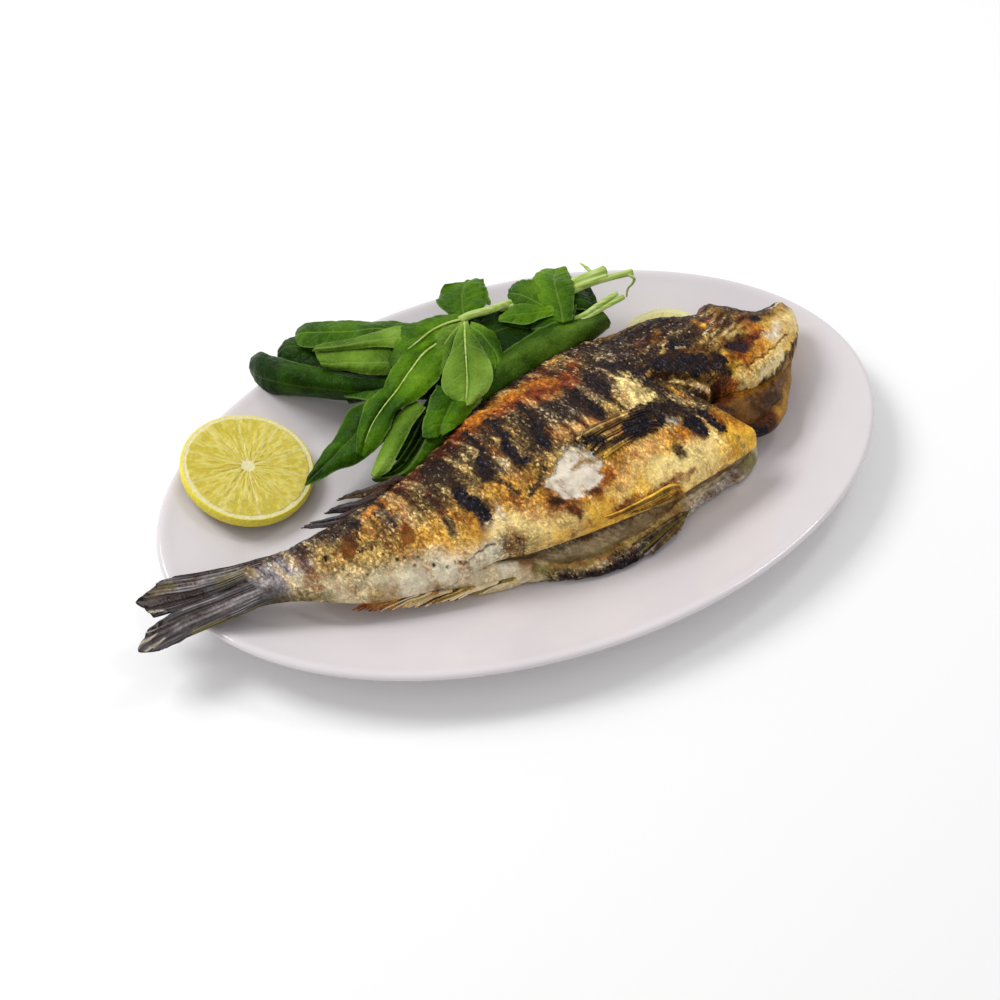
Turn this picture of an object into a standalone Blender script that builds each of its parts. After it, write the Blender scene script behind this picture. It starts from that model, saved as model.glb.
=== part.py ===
"""A whole grilled sea bream on its oval plate, with a bunch of rocket and two lemon slices.

+X is the plate's long axis, towards the fish's head, and +Z is up.  The plate stands on
z = 0, and the dish is centred on the origin.  The fish lies on its side in a frame of its
own, turned a few degrees on the plate: u runs from tail to head, v from belly to back.
Outlines are in millimetres, all other sizes in metres.
"""

import bmesh
import bpy
import numpy as np
from math import cos, pi, radians, sin
from mathutils import Matrix, Vector

MM = 0.001
GAP = 0.35 * MM

# oval plate
PLATE_LENGTH = 340 * MM
PLATE_WIDTH = 221 * MM
PLATE_HEIGHT = 21.5 * MM
PLATE_SEGMENTS = 64
WELL_HEIGHT = 7.0 * MM
WELL_MIDDLE_INSET = 90 * MM
# (distance inside the rim, height) along the upper face, from the rim to the well
PLATE_UPPER = [
    (0.0, 20.3 * MM), (0.9 * MM, 21.3 * MM), (2.4 * MM, PLATE_HEIGHT), (4.2 * MM, 21.0 * MM),
    (7 * MM, 19.8 * MM), (18 * MM, 15.7 * MM), (30 * MM, 11.3 * MM), (37 * MM, 8.7 * MM),
    (44 * MM, 7.3 * MM), (52 * MM, WELL_HEIGHT), (WELL_MIDDLE_INSET, WELL_HEIGHT),
]
LIP_INSET = 2.4 * MM
# the same along the underside, from the recess over the foot ring to the rim
PLATE_LOWER = [
    (WELL_MIDDLE_INSET, 2.6 * MM), (58 * MM, 2.6 * MM), (55 * MM, 2.2 * MM), (54 * MM, 0.0),
    (48 * MM, 0.0), (46.5 * MM, 2.4 * MM), (30 * MM, 7.2 * MM), (7 * MM, 16.0 * MM),
    (1.6 * MM, 18.4 * MM), (0.3 * MM, 19.4 * MM),
]

# fish's body: back's edge and belly's edge (u, v), half thickness and mid height along u
FISH_TURN = radians(6)
BODY_POINTS = 26
BODY_RINGS = 36
BACK_EDGE = [
    (-146, 3), (-128, -1), (-112, -2), (-95, 0), (-64, 5), (-40, 14), (-20, 23.5), (0, 30),
    (20, 35), (45, 38.5), (70, 36.5), (98, 29),
]
BELLY_EDGE = [
    (-146, -20), (-128, -25), (-112, -31), (-95, -37.5), (-64, -44), (-40, -49), (-15, -55.5),
    (15, -60), (45, -60), (70, -57), (88, -53), (98, -46),
]
BODY_THICKNESS = [
    (-146, 3.6), (-128, 6), (-112, 7.8), (-95, 10), (-64, 14), (-40, 17.3), (-15, 20), (15, 21),
    (45, 20.6), (70, 19), (88, 16), (98, 11),
]
BODY_HEIGHT = [(-146, 25.6), (-128, 27), (-100, 28), (-60, 28.5), (98, 28.5)]
# how far from an ellipse the section is: under 1 is fuller, and the bulge leans to the back
SECTION_FULLNESS = 0.92
SECTION_BULGE = 0.10

# head: crown and upper jaw's edge
HEAD_RINGS = 22
CROWN_EDGE = [
    (50, 30), (62, 36), (80, 34), (98, 29), (106, 29.5), (113, 31), (120, 27), (130, 19.5),
    (141, 15), (150, 12.5), (153, 7),
]
UPPER_JAW_EDGE = [
    (50, -6), (62, -24), (80, -27), (94, -24.5), (104, -27.5), (114, -25.5), (125, -22),
    (136, -16.5), (147, -5), (153, 4),
]
HEAD_THICKNESS = [
    (50, 15), (62, 20.6), (80, 20), (98, 18.6), (113, 16.5), (130, 12.5), (145, 8), (153, 3),
]
HEAD_HEIGHT = [(50, 29.5), (90, 29.8), (120, 30), (153, 29.5)]
EYE_PLACE = (109, -3.5, 50.5)
EYE_RADIUS = 7.5 * MM

# lower jaw, hanging open below the upper one
JAW_POINTS = 14
JAW_RINGS = 14
JAW_INNER_EDGE = [(84, -14), (104, -18), (122, -13), (137, -5), (143, -1)]
JAW_OUTER_EDGE = [(84, -30), (92, -40), (103, -44), (115, -39), (124, -30), (134, -18), (143, -5)]
JAW_THICKNESS = [(84, 6), (104, 6.5), (122, 5.5), (143, 3)]
JAW_HEIGHT = [(84, 19), (104, 20), (122, 21.5), (143, 25)]

# gutted belly: a slit between the flaps, and the lower flap spread on the plate
SLIT_RINGS = 16
SLIT_OUTSIDE = -80
SLIT_FLOOR = 12.5
SLIT_TAPER = 8
SLIT_INNER_EDGE = [(-46, -44), (-20, -36), (20, -30), (70, -30), (104, -34)]
SLIT_ROOF = [(-46, 15.5), (-20, 20), (10, 23), (60, 23.5), (104, 22)]
FLAP_OUTER_EDGE = [
    (-42, -46), (-26, -58), (-10, -66), (10, -70.5), (28, -67), (50, -60), (70, -56),
    (88, -52.5), (96, -46),
]
FLAP_INNER_EDGE = [(-42, -40), (-10, -38), (40, -34), (96, -40)]
FLAP_BOTTOM = 6
FLAP_TOP = 12.2
FLAP_LIP = 0.8
FLAP_ROUNDING = 3

# fins: corners of each outline (u, v, height of the mid plane)
TAIL_THICKNESS = 5
FIN_THICKNESS = 3
TAIL_UPPER_LOBE = [
    (-132, -1, 27), (-150, 5.5, 26), (-163, 10.5, 25.5), (-176, 10, 25), (-186, 7.5, 24.5),
    (-185, 4, 24.5), (-177, -4, 25), (-160, -8, 26), (-134, -12, 27),
]
TAIL_LOWER_LOBE = [
    (-132, -10, 27), (-158, -8, 26), (-180, -7, 25), (-194, -12, 24.5), (-193.5, -16, 24.5),
    (-180, -18.5, 24.8), (-160, -20, 25), (-146, -22, 25.5), (-131, -24, 26.5),
]
ANAL_FIN = [
    (-12, -50, 26), (-24, -62, 17), (-40, -57, 16), (-62, -53, 16), (-80, -50, 16),
    (-96, -42, 17), (-109, -34, 19), (-86, -34, 27), (-50, -42, 28),
]
REAR_DORSAL_FIN = [
    (-58, 2, 29), (-66, 12, 30), (-78, 8.5, 29), (-87, 14, 29), (-92, 7, 28), (-107, 7.5, 28),
    (-92, -3, 28), (-74, -4, 29),
]
PECTORAL_FIN = [
    (70, -24, 47), (50, -20.5, 48), (24, -21, 48), (10, -24.5, 47.5), (14, -33, 46),
    (36, -38.5, 44.5), (60, -38, 43.5),
]
PELVIC_FIN = [
    (50, -50, 37), (30, -47, 39), (6, -54.5, 34), (-3, -59, 29), (20, -62.5, 28), (44, -60, 29),
]

# lemon slices: radius, centre on the plate, tilt, and the direction of the raised side
SLICE_THICKNESS = 5.5 * MM
SLICE_SEGMENTS = 36
RIND_BEVEL = 0.8 * MM
FRONT_SLICE = (30 * MM, (-118.5 * MM, 43.5 * MM), radians(14), radians(143))
BACK_SLICE = (23 * MM, (94.5 * MM, 40 * MM), radians(13), radians(62))

# rocket: start, middle and end of each roll of leaves (x, y, z), half width and half height
ROCKET_LOBES = [
    ([(0, 78, 36), (-12, 54, 36), (-28, 28, 38)], 25, 10),
    ([(-102, 92, 26), (-68, 78, 27), (-34, 58, 30)], 15, 9),
    ([(-79, 102, 32), (-46, 87, 34), (-10, 68, 38)], 13, 5),
    ([(-10, 56, 36), (-55, 37, 31), (-99, 15, 24)], 16, 7),
    ([(-12, 44, 40), (-43, 18, 40), (-72, -5, 38)], 17, 7),
    ([(-40, 6, 38), (12, 32, 37), (66, 52, 33)], 14, 10),
    ([(-6, 68, 42), (43, 70, 41), (91, 75, 38)], 9, 5),
    ([(-14, 62, 38), (2, 84, 38), (19, 99, 34)], 15, 5),
    ([(4, 60, 38), (37, 68, 39), (68, 79, 37)], 18, 8),
    ([(-8, 62, 24), (14, 56, 24), (56, 60, 24)], 22, 14),
]
LOBE_POINTS = 10
LOBE_RINGS = 8
LOBE_BLUNTNESS = 0.42
LOBE_CLEARANCE = 1.5 * MM

SHARP_ANGLE = radians(50)


for leftover in list(bpy.data.objects):
    bpy.data.objects.remove(leftover, do_unlink=True)


def new_collection(name):
    collection = bpy.data.collections.new(name)
    bpy.context.scene.collection.children.link(collection)
    return collection


dish = new_collection("whole_grilled_fish")
cutters = new_collection("cutters")
cutters.hide_render = True

# everything hangs on one empty, which centres the dish at the end
middle = bpy.data.objects.new("middle", None)
dish.objects.link(middle)


def new_material(name, colour, roughness):
    material = bpy.data.materials.new(name)
    material.use_nodes = True
    shader = material.node_tree.nodes["Principled BSDF"]
    shader.inputs["Base Color"].default_value = (*colour, 1)
    shader.inputs["Roughness"].default_value = roughness
    shader.inputs["Metallic"].default_value = 0
    return material


porcelain = new_material("porcelain", (0.70, 0.66, 0.67), 0.12)
grilled_skin = new_material("grilled_skin", (0.32, 0.17, 0.06), 0.45)
lemon = new_material("lemon", (0.72, 0.62, 0.12), 0.35)
rocket_leaf = new_material("rocket_leaf", (0.06, 0.19, 0.02), 0.4)


def smooth_curve(points):
    """A function through the points (place, value), with Catmull-Rom slopes."""
    x, y = np.array(points, float).T
    slope = np.gradient(y, x)

    def value(at):
        at = np.clip(at, x[0], x[-1])
        i = np.clip(np.searchsorted(x, at) - 1, 0, len(x) - 2)
        width = x[i + 1] - x[i]
        t = (at - x[i]) / width
        return (
            (2 * t**3 - 3 * t**2 + 1) * y[i]
            + (t**3 - 2 * t**2 + t) * width * slope[i]
            + (3 * t**2 - 2 * t**3) * y[i + 1]
            + (t**3 - t**2) * width * slope[i + 1]
        )

    return value


def rim_distance(x, y):
    """How far inside the rim a point is: the inset of the ellipse that passes through it."""
    outside, inside = -PLATE_WIDTH / 2, PLATE_WIDTH / 2 - MM
    for _ in range(30):
        inset = (outside + inside) / 2
        a, b = PLATE_LENGTH / 2 - inset, PLATE_WIDTH / 2 - inset
        if (x / a) ** 2 + (y / b) ** 2 < 1:
            outside = inset
        else:
            inside = inset
    return outside


def plate_top(x, y):
    """Height of the plate's upper face, which beyond the lip goes on at the lip's height."""
    distance = max(rim_distance(x, y), LIP_INSET)
    insets, heights = zip(*PLATE_UPPER)
    return float(np.interp(distance, insets, heights))


def on_plate(u, v, z):
    """A point of the fish's own frame, as a place on the plate in metres."""
    x = (u * cos(FISH_TURN) - v * sin(FISH_TURN)) * MM
    y = (u * sin(FISH_TURN) + v * cos(FISH_TURN)) * MM
    return x, y, z * MM


def raised(point, clearance=GAP):
    """The point, lifted where it would sink into the plate."""
    x, y, z = point
    return x, y, max(z, plate_top(x, y) + clearance)


def show_as_part(obj):
    """Moves a body from the cutters to the dish."""
    cutters.objects.unlink(obj)
    dish.objects.link(obj)
    obj.hide_render = False
    obj.display_type = "TEXTURED"
    obj.data.shade_smooth()
    obj.data.set_sharp_from_angle(angle=SHARP_ANGLE)
    return obj


def new_body(name, shape, material):
    """An object from the bmesh shape, kept as a cutter until it is shown as a part."""
    mesh = bpy.data.meshes.new(name)
    shape.to_mesh(mesh)
    shape.free()
    mesh.materials.append(material)
    obj = bpy.data.objects.new(name, mesh)
    obj.hide_render = True
    obj.display_type = "WIRE"
    obj.parent = middle
    cutters.objects.link(obj)
    return obj


def loft(name, rings, material):
    """A closed body through rings of equal point counts, with a fan over each end."""
    shape = bmesh.new()
    rows = [[shape.verts.new(point) for point in ring] for ring in rings]
    count = len(rows[0])
    for lower, upper in zip(rows, rows[1:]):
        for i in range(count):
            j = (i + 1) % count
            shape.faces.new((lower[i], lower[j], upper[j], upper[i]))
    for row in (rows[0], rows[-1]):
        centre = shape.verts.new(sum((v.co for v in row), Vector()) / count)
        for i in range(count):
            shape.faces.new((row[i], row[(i + 1) % count], centre))
    bmesh.ops.triangulate(shape, faces=shape.faces[:])
    bmesh.ops.recalc_face_normals(shape, faces=shape.faces[:])
    return new_body(name, shape, material)


def boolean(obj, other, operation):
    modifier = obj.modifiers.new(operation.lower() + "_" + other.name, "BOOLEAN")
    modifier.operation = operation
    modifier.solver = "EXACT"
    modifier.object = other


def make_plate():
    """The plate's profile, carried round the rim at a constant inset."""
    angles = np.linspace(0, 2 * pi, PLATE_SEGMENTS, endpoint=False)
    rings = []
    for inset, height in PLATE_LOWER + PLATE_UPPER:
        a, b = PLATE_LENGTH / 2 - inset, PLATE_WIDTH / 2 - inset
        rings.append([(a * cos(t), b * sin(t), height) for t in angles])
    return show_as_part(loft("plate", rings, porcelain))


def fish_section(u, top, low, thickness, height, grow, points):
    """An egg-shaped section across the fish at u, lying over the plate."""
    ring = []
    for angle in np.linspace(0, 2 * pi, points, endpoint=False):
        across = (1 + cos(angle)) / 2
        fullness = abs(sin(angle)) ** SECTION_FULLNESS
        fullness *= 1 + SECTION_BULGE * cos(angle) * (1 - across)
        z = height + (thickness + grow) * fullness * np.sign(sin(angle))
        v = low - grow + (top - low + 2 * grow) * across
        ring.append(raised(on_plate(u, v, z), GAP - grow * MM))
    return ring


def fish_loft(name, edges, rings, points, grow=0):
    """Sections from tail to head: edges are the upper, lower, thickness and height curves."""
    curves = [smooth_curve(edge) for edge in edges]
    places = np.linspace(edges[0][0][0], edges[0][-1][0], rings)
    sections = [fish_section(u, *(c(u) for c in curves), grow, points) for u in places]
    return loft(name, sections, grilled_skin)


def make_trunk(name, grow=0):
    edges = (BACK_EDGE, BELLY_EDGE, BODY_THICKNESS, BODY_HEIGHT)
    return fish_loft(name, edges, BODY_RINGS, BODY_POINTS, grow)


def make_head(name, grow=0):
    edges = (CROWN_EDGE, UPPER_JAW_EDGE, HEAD_THICKNESS, HEAD_HEIGHT)
    return fish_loft(name, edges, HEAD_RINGS, BODY_POINTS, grow)


def make_jaw():
    edges = (JAW_INNER_EDGE, JAW_OUTER_EDGE, JAW_THICKNESS, JAW_HEIGHT)
    return fish_loft("lower_jaw", edges, JAW_RINGS, JAW_POINTS)


def make_slit():
    """The space between the belly flaps, open towards the belly and at its front end."""
    inner, roof = smooth_curve(SLIT_INNER_EDGE), smooth_curve(SLIT_ROOF)
    rings = []
    for u in np.linspace(SLIT_ROOF[0][0], SLIT_ROOF[-1][0], SLIT_RINGS):
        taper = inner(u) - SLIT_TAPER
        corners = [
            (SLIT_OUTSIDE, SLIT_FLOOR), (SLIT_OUTSIDE, roof(u)), (taper, roof(u)),
            (inner(u), (SLIT_FLOOR + roof(u)) / 2), (taper, SLIT_FLOOR),
        ]
        rings.append([on_plate(u, v, z) for v, z in corners])
    return loft("slit", rings, grilled_skin)


def make_flap():
    """The lower belly flap: a sheet with a slightly raised, rounded lip."""
    inner, outer = smooth_curve(FLAP_INNER_EDGE), smooth_curve(FLAP_OUTER_EDGE)
    rings = []
    for u in np.linspace(FLAP_OUTER_EDGE[0][0], FLAP_OUTER_EDGE[-1][0], SLIT_RINGS):
        corners = [
            (inner(u), FLAP_BOTTOM), (inner(u), FLAP_TOP), ((inner(u) + outer(u)) / 2, FLAP_TOP),
            (outer(u) + FLAP_ROUNDING, FLAP_TOP + FLAP_LIP), (outer(u), FLAP_TOP - FLAP_LIP),
            (outer(u) + FLAP_ROUNDING, FLAP_BOTTOM),
        ]
        rings.append([raised(on_plate(u, v, z)) for v, z in corners])
    return loft("lower_flap", rings, grilled_skin)


def make_fin(name, outline, thickness):
    """A thin sheet with the given outline."""
    rings = [
        [raised(on_plate(u, v, height + side * thickness / 2)) for u, v, height in outline]
        for side in (-1, 1)
    ]
    return loft(name, rings, grilled_skin)


def make_eye_socket():
    shape = bmesh.new()
    bmesh.ops.create_uvsphere(shape, u_segments=16, v_segments=8, radius=EYE_RADIUS)
    shape.transform(Matrix.Translation(on_plate(*EYE_PLACE)))
    return new_body("eye_socket", shape, grilled_skin)


def make_slice_body(name, radius, centre, tilt, raised_towards, grow=0):
    """A round slice with one side up on the plate's flange, lowered until it touches."""
    shape = bmesh.new()
    bmesh.ops.create_cone(
        shape, cap_ends=True, segments=SLICE_SEGMENTS, radius1=radius + grow,
        radius2=radius + grow, depth=SLICE_THICKNESS + 2 * grow,
    )
    shape.transform(Matrix.Rotation(raised_towards, 4, "Z") @ Matrix.Rotation(-tilt, 4, "Y"))
    x, y = centre
    lift = max(plate_top(v.co.x + x, v.co.y + y) - v.co.z for v in shape.verts)
    shape.transform(Matrix.Translation((x, y, lift + GAP - grow)))
    return new_body(name, shape, lemon)


def make_slice(name, place):
    lemon_slice = show_as_part(make_slice_body(name, *place))
    bevel = lemon_slice.modifiers.new("rind edge", "BEVEL")
    bevel.width = RIND_BEVEL
    bevel.segments = 1
    bevel.limit_method = "ANGLE"
    return lemon_slice


def make_fish():
    """One solid: the gutted trunk, the head, jaw and fins, bedded on the slice under it."""
    fish = show_as_part(make_trunk("fish"))
    boolean(fish, make_slit(), "DIFFERENCE")
    for piece in (
        make_head("head"),
        make_jaw(),
        make_flap(),
        make_fin("tail_upper_lobe", TAIL_UPPER_LOBE, TAIL_THICKNESS),
        make_fin("tail_lower_lobe", TAIL_LOWER_LOBE, TAIL_THICKNESS),
        make_fin("anal_fin", ANAL_FIN, FIN_THICKNESS),
        make_fin("rear_dorsal_fin", REAR_DORSAL_FIN, FIN_THICKNESS),
        make_fin("pectoral_fin", PECTORAL_FIN, FIN_THICKNESS),
        make_fin("pelvic_fin", PELVIC_FIN, FIN_THICKNESS),
    ):
        boolean(fish, piece, "UNION")
    boolean(fish, make_eye_socket(), "DIFFERENCE")
    boolean(fish, make_slice_body("slice_bed", *BACK_SLICE, GAP), "DIFFERENCE")
    return fish


def make_lobe(name, path, half_width, half_height):
    """A flattened roll of leaves along a bowed path, blunt at both ends."""
    start, through, end = (Vector(point) for point in path)
    bow = through * 2 - (start + end) / 2
    side = Vector((start.y - end.y, end.x - start.x, 0)).normalized()
    rings = []
    for t in np.linspace(0.02, 0.98, LOBE_RINGS):
        centre = start * (1 - t) ** 2 + bow * 2 * t * (1 - t) + end * t**2
        size = sin(pi * t) ** LOBE_BLUNTNESS
        ring = []
        for angle in np.linspace(0, 2 * pi, LOBE_POINTS, endpoint=False):
            point = centre + side * (half_width * size * cos(angle))
            point.z += half_height * size * sin(angle)
            ring.append(raised(point * MM, LOBE_CLEARANCE))
        rings.append(ring)
    return loft(name, rings, rocket_leaf)


def make_rocket():
    """One solid out to the bunch's uneven outline, clear of the fish and the slices."""
    first, *others = [make_lobe(f"lobe_{i}", *lobe) for i, lobe in enumerate(ROCKET_LOBES)]
    bunch = show_as_part(first)
    bunch.name = "rocket_bunch"
    for lobe in others:
        boolean(bunch, lobe, "UNION")
    for clearance in (
        make_trunk("trunk_clearance", GAP / MM),
        make_head("head_clearance", GAP / MM),
        make_slice_body("front_slice_clearance", *FRONT_SLICE, GAP),
        make_slice_body("back_slice_clearance", *BACK_SLICE, GAP),
    ):
        boolean(bunch, clearance, "DIFFERENCE")
    return bunch


make_plate()
make_fish()
make_slice("lemon_slice_front", FRONT_SLICE)
make_slice("lemon_slice_back", BACK_SLICE)
make_rocket()

# the tail overhangs the rim, so the dish is centred by its whole length, tail included
bpy.context.view_layer.update()
graph = bpy.context.evaluated_depsgraph_get()
corners = np.array([
    corner[:] for obj in dish.objects if obj.type == "MESH"
    for corner in obj.evaluated_get(graph).bound_box
])
x, y, z = -(corners.min(axis=0) + corners.max(axis=0)) / 2
middle.location = (x, y, 0)
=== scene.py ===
import math

import bpy
import numpy as np
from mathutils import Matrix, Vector


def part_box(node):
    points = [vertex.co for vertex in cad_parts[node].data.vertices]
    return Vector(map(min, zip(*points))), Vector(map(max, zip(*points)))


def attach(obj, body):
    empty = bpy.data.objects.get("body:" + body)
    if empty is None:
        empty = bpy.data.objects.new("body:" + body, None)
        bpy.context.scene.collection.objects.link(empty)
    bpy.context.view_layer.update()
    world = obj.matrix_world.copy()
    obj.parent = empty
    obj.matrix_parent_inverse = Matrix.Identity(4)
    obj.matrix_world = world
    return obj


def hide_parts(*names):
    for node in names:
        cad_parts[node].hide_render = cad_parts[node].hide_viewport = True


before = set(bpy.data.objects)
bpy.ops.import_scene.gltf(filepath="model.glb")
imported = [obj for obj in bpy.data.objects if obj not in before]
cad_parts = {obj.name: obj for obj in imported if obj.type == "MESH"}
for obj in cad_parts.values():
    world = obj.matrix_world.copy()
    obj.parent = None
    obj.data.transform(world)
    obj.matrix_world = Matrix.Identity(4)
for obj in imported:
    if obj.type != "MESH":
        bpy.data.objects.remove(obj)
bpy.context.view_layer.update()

# A grilled sea bream on an oval plate, with a bunch of rocket and two lemon slices.
# Shapes are worked out in millimetres and put into the meshes in metres.
mm = 0.001
scene = bpy.context.scene
scene.view_settings.view_transform = "Standard"
scene.view_settings.look = "None"

plateLow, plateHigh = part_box("plate")
plateMiddle = (np.array(plateLow) + np.array(plateHigh)) / 2 / mm
plateMiddle[2] = 0


# shared tools

def hexToLinear(text, alpha=1.0):
    # sRGB hex to linear: c / 12.92 below 0.04045, else ((c + 0.055) / 1.055) ^ 2.4
    c = np.array([int(text[i:i + 2], 16) for i in (1, 3, 5)]) / 255
    linear = np.where(c <= 0.04045, c / 12.92, ((c + 0.055) / 1.055) ** 2.4)
    return (*linear.tolist(), alpha)


def curveThrough(places, values=None):
    # cubic through the knots, each knot's slope taken from its neighbours
    if values is None:
        places, values = np.array(places, float).T
    places, values = np.asarray(places, float), np.asarray(values, float)
    slopes = np.gradient(values, places, axis=0)

    def value(at):
        at = np.clip(np.asarray(at, float), places[0], places[-1])
        i = np.clip(np.searchsorted(places, at, side="right") - 1, 0, len(places) - 2)
        width = places[i + 1] - places[i]
        t = (at - places[i]) / width
        if values.ndim > 1:
            t, width = t[..., None], width[..., None]
        return ((2 * t**3 - 3 * t**2 + 1) * values[i] + (t**3 - 2 * t**2 + t) * width * slopes[i]
                + (3 * t**2 - 2 * t**3) * values[i + 1] + (t**3 - t**2) * width * slopes[i + 1])

    return value


def curvesOf(own, *keys):
    # the curves through some of a dictionary's knot lists
    return [curveThrough(own[key]) for key in keys]


def pathThrough(points, count):
    # the same cubic through points in space, at even steps along its length
    points = np.asarray(points, float)
    steps = np.r_[0, np.cumsum(np.linalg.norm(np.diff(points, axis=0), axis=1))]
    fine = curveThrough(steps, points)(np.linspace(0, steps[-1], 20 * count))
    run = np.r_[0, np.cumsum(np.linalg.norm(np.diff(fine, axis=0), axis=1))]
    at = np.linspace(0, run[-1], count)
    return np.stack([np.interp(at, run, column) for column in fine.T], 1)


def ramp(x, start, end):
    # 0 before start, 1 after end, with a smooth step between them
    t = np.clip((x - start) / (end - start), 0, 1)
    return t * t * (3 - 2 * t)


def lumps(points, size, seed, octaves=4, gain=0.5):
    # random values on a lattice of that size in mm, blended smoothly; each octave is
    # twice as fine and weaker by gain. The result lies round 0, mostly within +-0.5
    side, offset, stretch = 64, 11.7, 1.6
    lattice = np.random.default_rng(seed).random((side, side, side), dtype=np.float32)
    points = np.asarray(points, float)
    if points.shape[-1] == 2:
        points = np.concatenate([points, np.zeros_like(points[..., :1])], -1)
    total, weight, weights = np.zeros(points.shape[:-1]), 1.0, 0.0
    for octave in range(octaves):
        place = points / size * 2**octave + offset * (octave + 1)
        cell = np.floor(place).astype(int)
        f = place - cell
        f = f * f * (3 - 2 * f)
        for c, b, a in np.ndindex(2, 2, 2):
            share, at = np.ones(points.shape[:-1]), []
            for k, step in enumerate((a, b, c)):
                share = share * (f[..., k] if step else 1 - f[..., k])
                at.append((cell[..., k] + step) % side)
            total += weight * share * lattice[tuple(at)]
        weights += weight
        weight *= gain
    return (total / weights - 0.5) * stretch


def lineDistance(places, line):
    # distance from each place to a line of straight pieces
    line = np.atleast_2d(np.asarray(line, float))
    best = np.hypot(places[..., 0] - line[0, 0], places[..., 1] - line[0, 1])
    for start, step in zip(line, np.diff(line, axis=0)):
        rel = places - start
        t = np.clip((rel @ step) / max(step @ step, 1e-9), 0, 1)
        best = np.minimum(best, np.hypot(rel[..., 0] - t * step[0], rel[..., 1] - t * step[1]))
    return best


def patchDistance(places, outline):
    # distance to a closed outline, negative inside it
    outline = np.asarray(outline, float)
    edge = lineDistance(places, np.vstack([outline, outline[:1]]))
    inside = np.zeros(places.shape[:-1], bool)
    for a, b in zip(outline, np.roll(outline, -1, axis=0)):
        crosses = (a[1] > places[..., 1]) != (b[1] > places[..., 1])
        at = a[0] + (places[..., 1] - a[1]) / (b[1] - a[1] + 1e-12) * (b[0] - a[0])
        inside ^= crosses & (places[..., 0] < at)
    return np.where(inside, -edge, edge)


def normalsOf(grid, closed=False):
    # the cross product of the grid's two directions, scaled to length 1
    if closed:
        across = (np.roll(grid, -1, 1) - np.roll(grid, 1, 1)) / 2
    else:
        across = np.gradient(grid, axis=1)
    n = np.cross(np.gradient(grid, axis=0), across)
    return n / np.maximum(np.linalg.norm(n, axis=-1, keepdims=True), 1e-9)


def outward(grid):
    # normals of closed rings, turned away from each ring's middle
    n = normalsOf(grid, closed=True)
    away = grid - grid.mean(axis=1, keepdims=True)
    return n * np.where((n * away).sum(-1).mean() < 0, -1, 1)


def ringsAlong(path, half, around, wide=1.0, tall=1.0, ribbed=0.0):
    # rings square to a path: path + half (1 + ribbed cos 5t) (wide cos t side + tall sin t up)
    ahead = np.gradient(path, axis=0)
    ahead /= np.linalg.norm(ahead, axis=1, keepdims=True)
    side = np.cross(ahead, [0, 0, 1])
    side /= np.linalg.norm(side, axis=1, keepdims=True)
    up = np.cross(side, ahead)
    t = np.linspace(0, 2 * math.pi, around, endpoint=False)[None, :, None]
    spokes = side[:, None] * np.cos(t) * wide + tall * up[:, None] * np.sin(t)
    return path[:, None] + half[:, None, None] * (1 + ribbed * np.cos(5 * t)) * spokes


def tubeFaces(rows, columns):
    # quads of a grid whose last column joins its first, and a fan over each end row, whose
    # triangles are quads with a doubled corner
    i, j = np.meshgrid(np.arange(rows - 1), np.arange(columns), indexing="ij")
    k = (j + 1) % columns
    low, high = i * columns, (i + 1) * columns
    quads = np.stack([low + j, low + k, high + k, high + j], -1).reshape(-1, 4)
    j, k = j[0], k[0]
    end, middles = (rows - 1) * columns, np.full((2, columns), rows * columns)
    return np.concatenate([quads, np.stack([k, j, *middles], -1),
                           np.stack([end + j, end + k, *(middles + 1)], -1)])


layerKinds = {1: ("FLOAT", "value"), 3: ("FLOAT_VECTOR", "vector"), 4: ("FLOAT_COLOR", "color")}


def addTubes(name, tubes, material, replaced=()):
    # closed bodies in one mesh, each a grid in mm of (rings, points round, 3) with its layers,
    # and each end fanned to its middle. The piece faces outwards, rides on the dish and stays
    # at the origin
    faces, layers, start = [], {}, 0
    for grid, own in tubes:
        rows, columns = grid.shape[:2]
        for key, values in [("place", grid), *own.items()]:
            flat = values.reshape(rows * columns, -1)
            ends = [flat[:columns].mean(0), flat[-columns:].mean(0)]
            layers.setdefault(key, []).append(np.vstack([flat, *ends]))
        faces.append(tubeFaces(rows, columns) + start)
        start += rows * columns + 2
    points, faces = np.vstack(layers.pop("place")), np.concatenate(faces)
    a, b, c = (points[corner] for corner in np.vstack([faces[:, :3], faces[:, [0, 2, 3]]]).T)
    if (np.cross(a, b) * c).sum() < 0:
        faces = faces[:, ::-1]
    corners = [f[:3] if f[2] == f[3] else f[1:] if f[0] == f[1] else f for f in faces.tolist()]
    mesh = bpy.data.meshes.new(name)
    mesh.from_pydata((points * mm).tolist(), [], corners)
    for key, parts in layers.items():
        values = np.vstack(parts).astype(np.float32)
        kind, field = layerKinds[values.shape[1]]
        mesh.attributes.new(key, kind, "POINT").data.foreach_set(field, values.ravel())
    mesh.shade_smooth()
    mesh.materials.append(material)
    obj = bpy.data.objects.new(name, mesh)
    scene.collection.objects.link(obj)
    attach(obj, "root")
    if replaced:
        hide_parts(*replaced)


def setSockets(tree, node, links):
    # each socket takes its value or its link, and a node stands for its first output in use
    for socket, value in links.items():
        if isinstance(value, bpy.types.Node):
            value = next(output for output in value.outputs if output.enabled)
        if isinstance(value, bpy.types.NodeSocket):
            tree.links.new(value, node.inputs[socket])
        else:
            node.inputs[socket].default_value = value


def addNode(tree, kind, links=None, stops=None, **settings):
    # one shader node with its settings, then its sockets, then a ramp's stops
    node = tree.nodes.new("ShaderNode" + kind)
    for key, value in settings.items():
        setattr(node, key, value)
    setSockets(tree, node, links or {})
    for k, (place, colour) in enumerate(stops or []):
        elements = node.color_ramp.elements
        stop = elements[k] if k < 2 else elements.new(place)
        stop.position = place
        stop.color = hexToLinear(colour) if isinstance(colour, str) else (colour,) * 3 + (1,)
    return node


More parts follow.
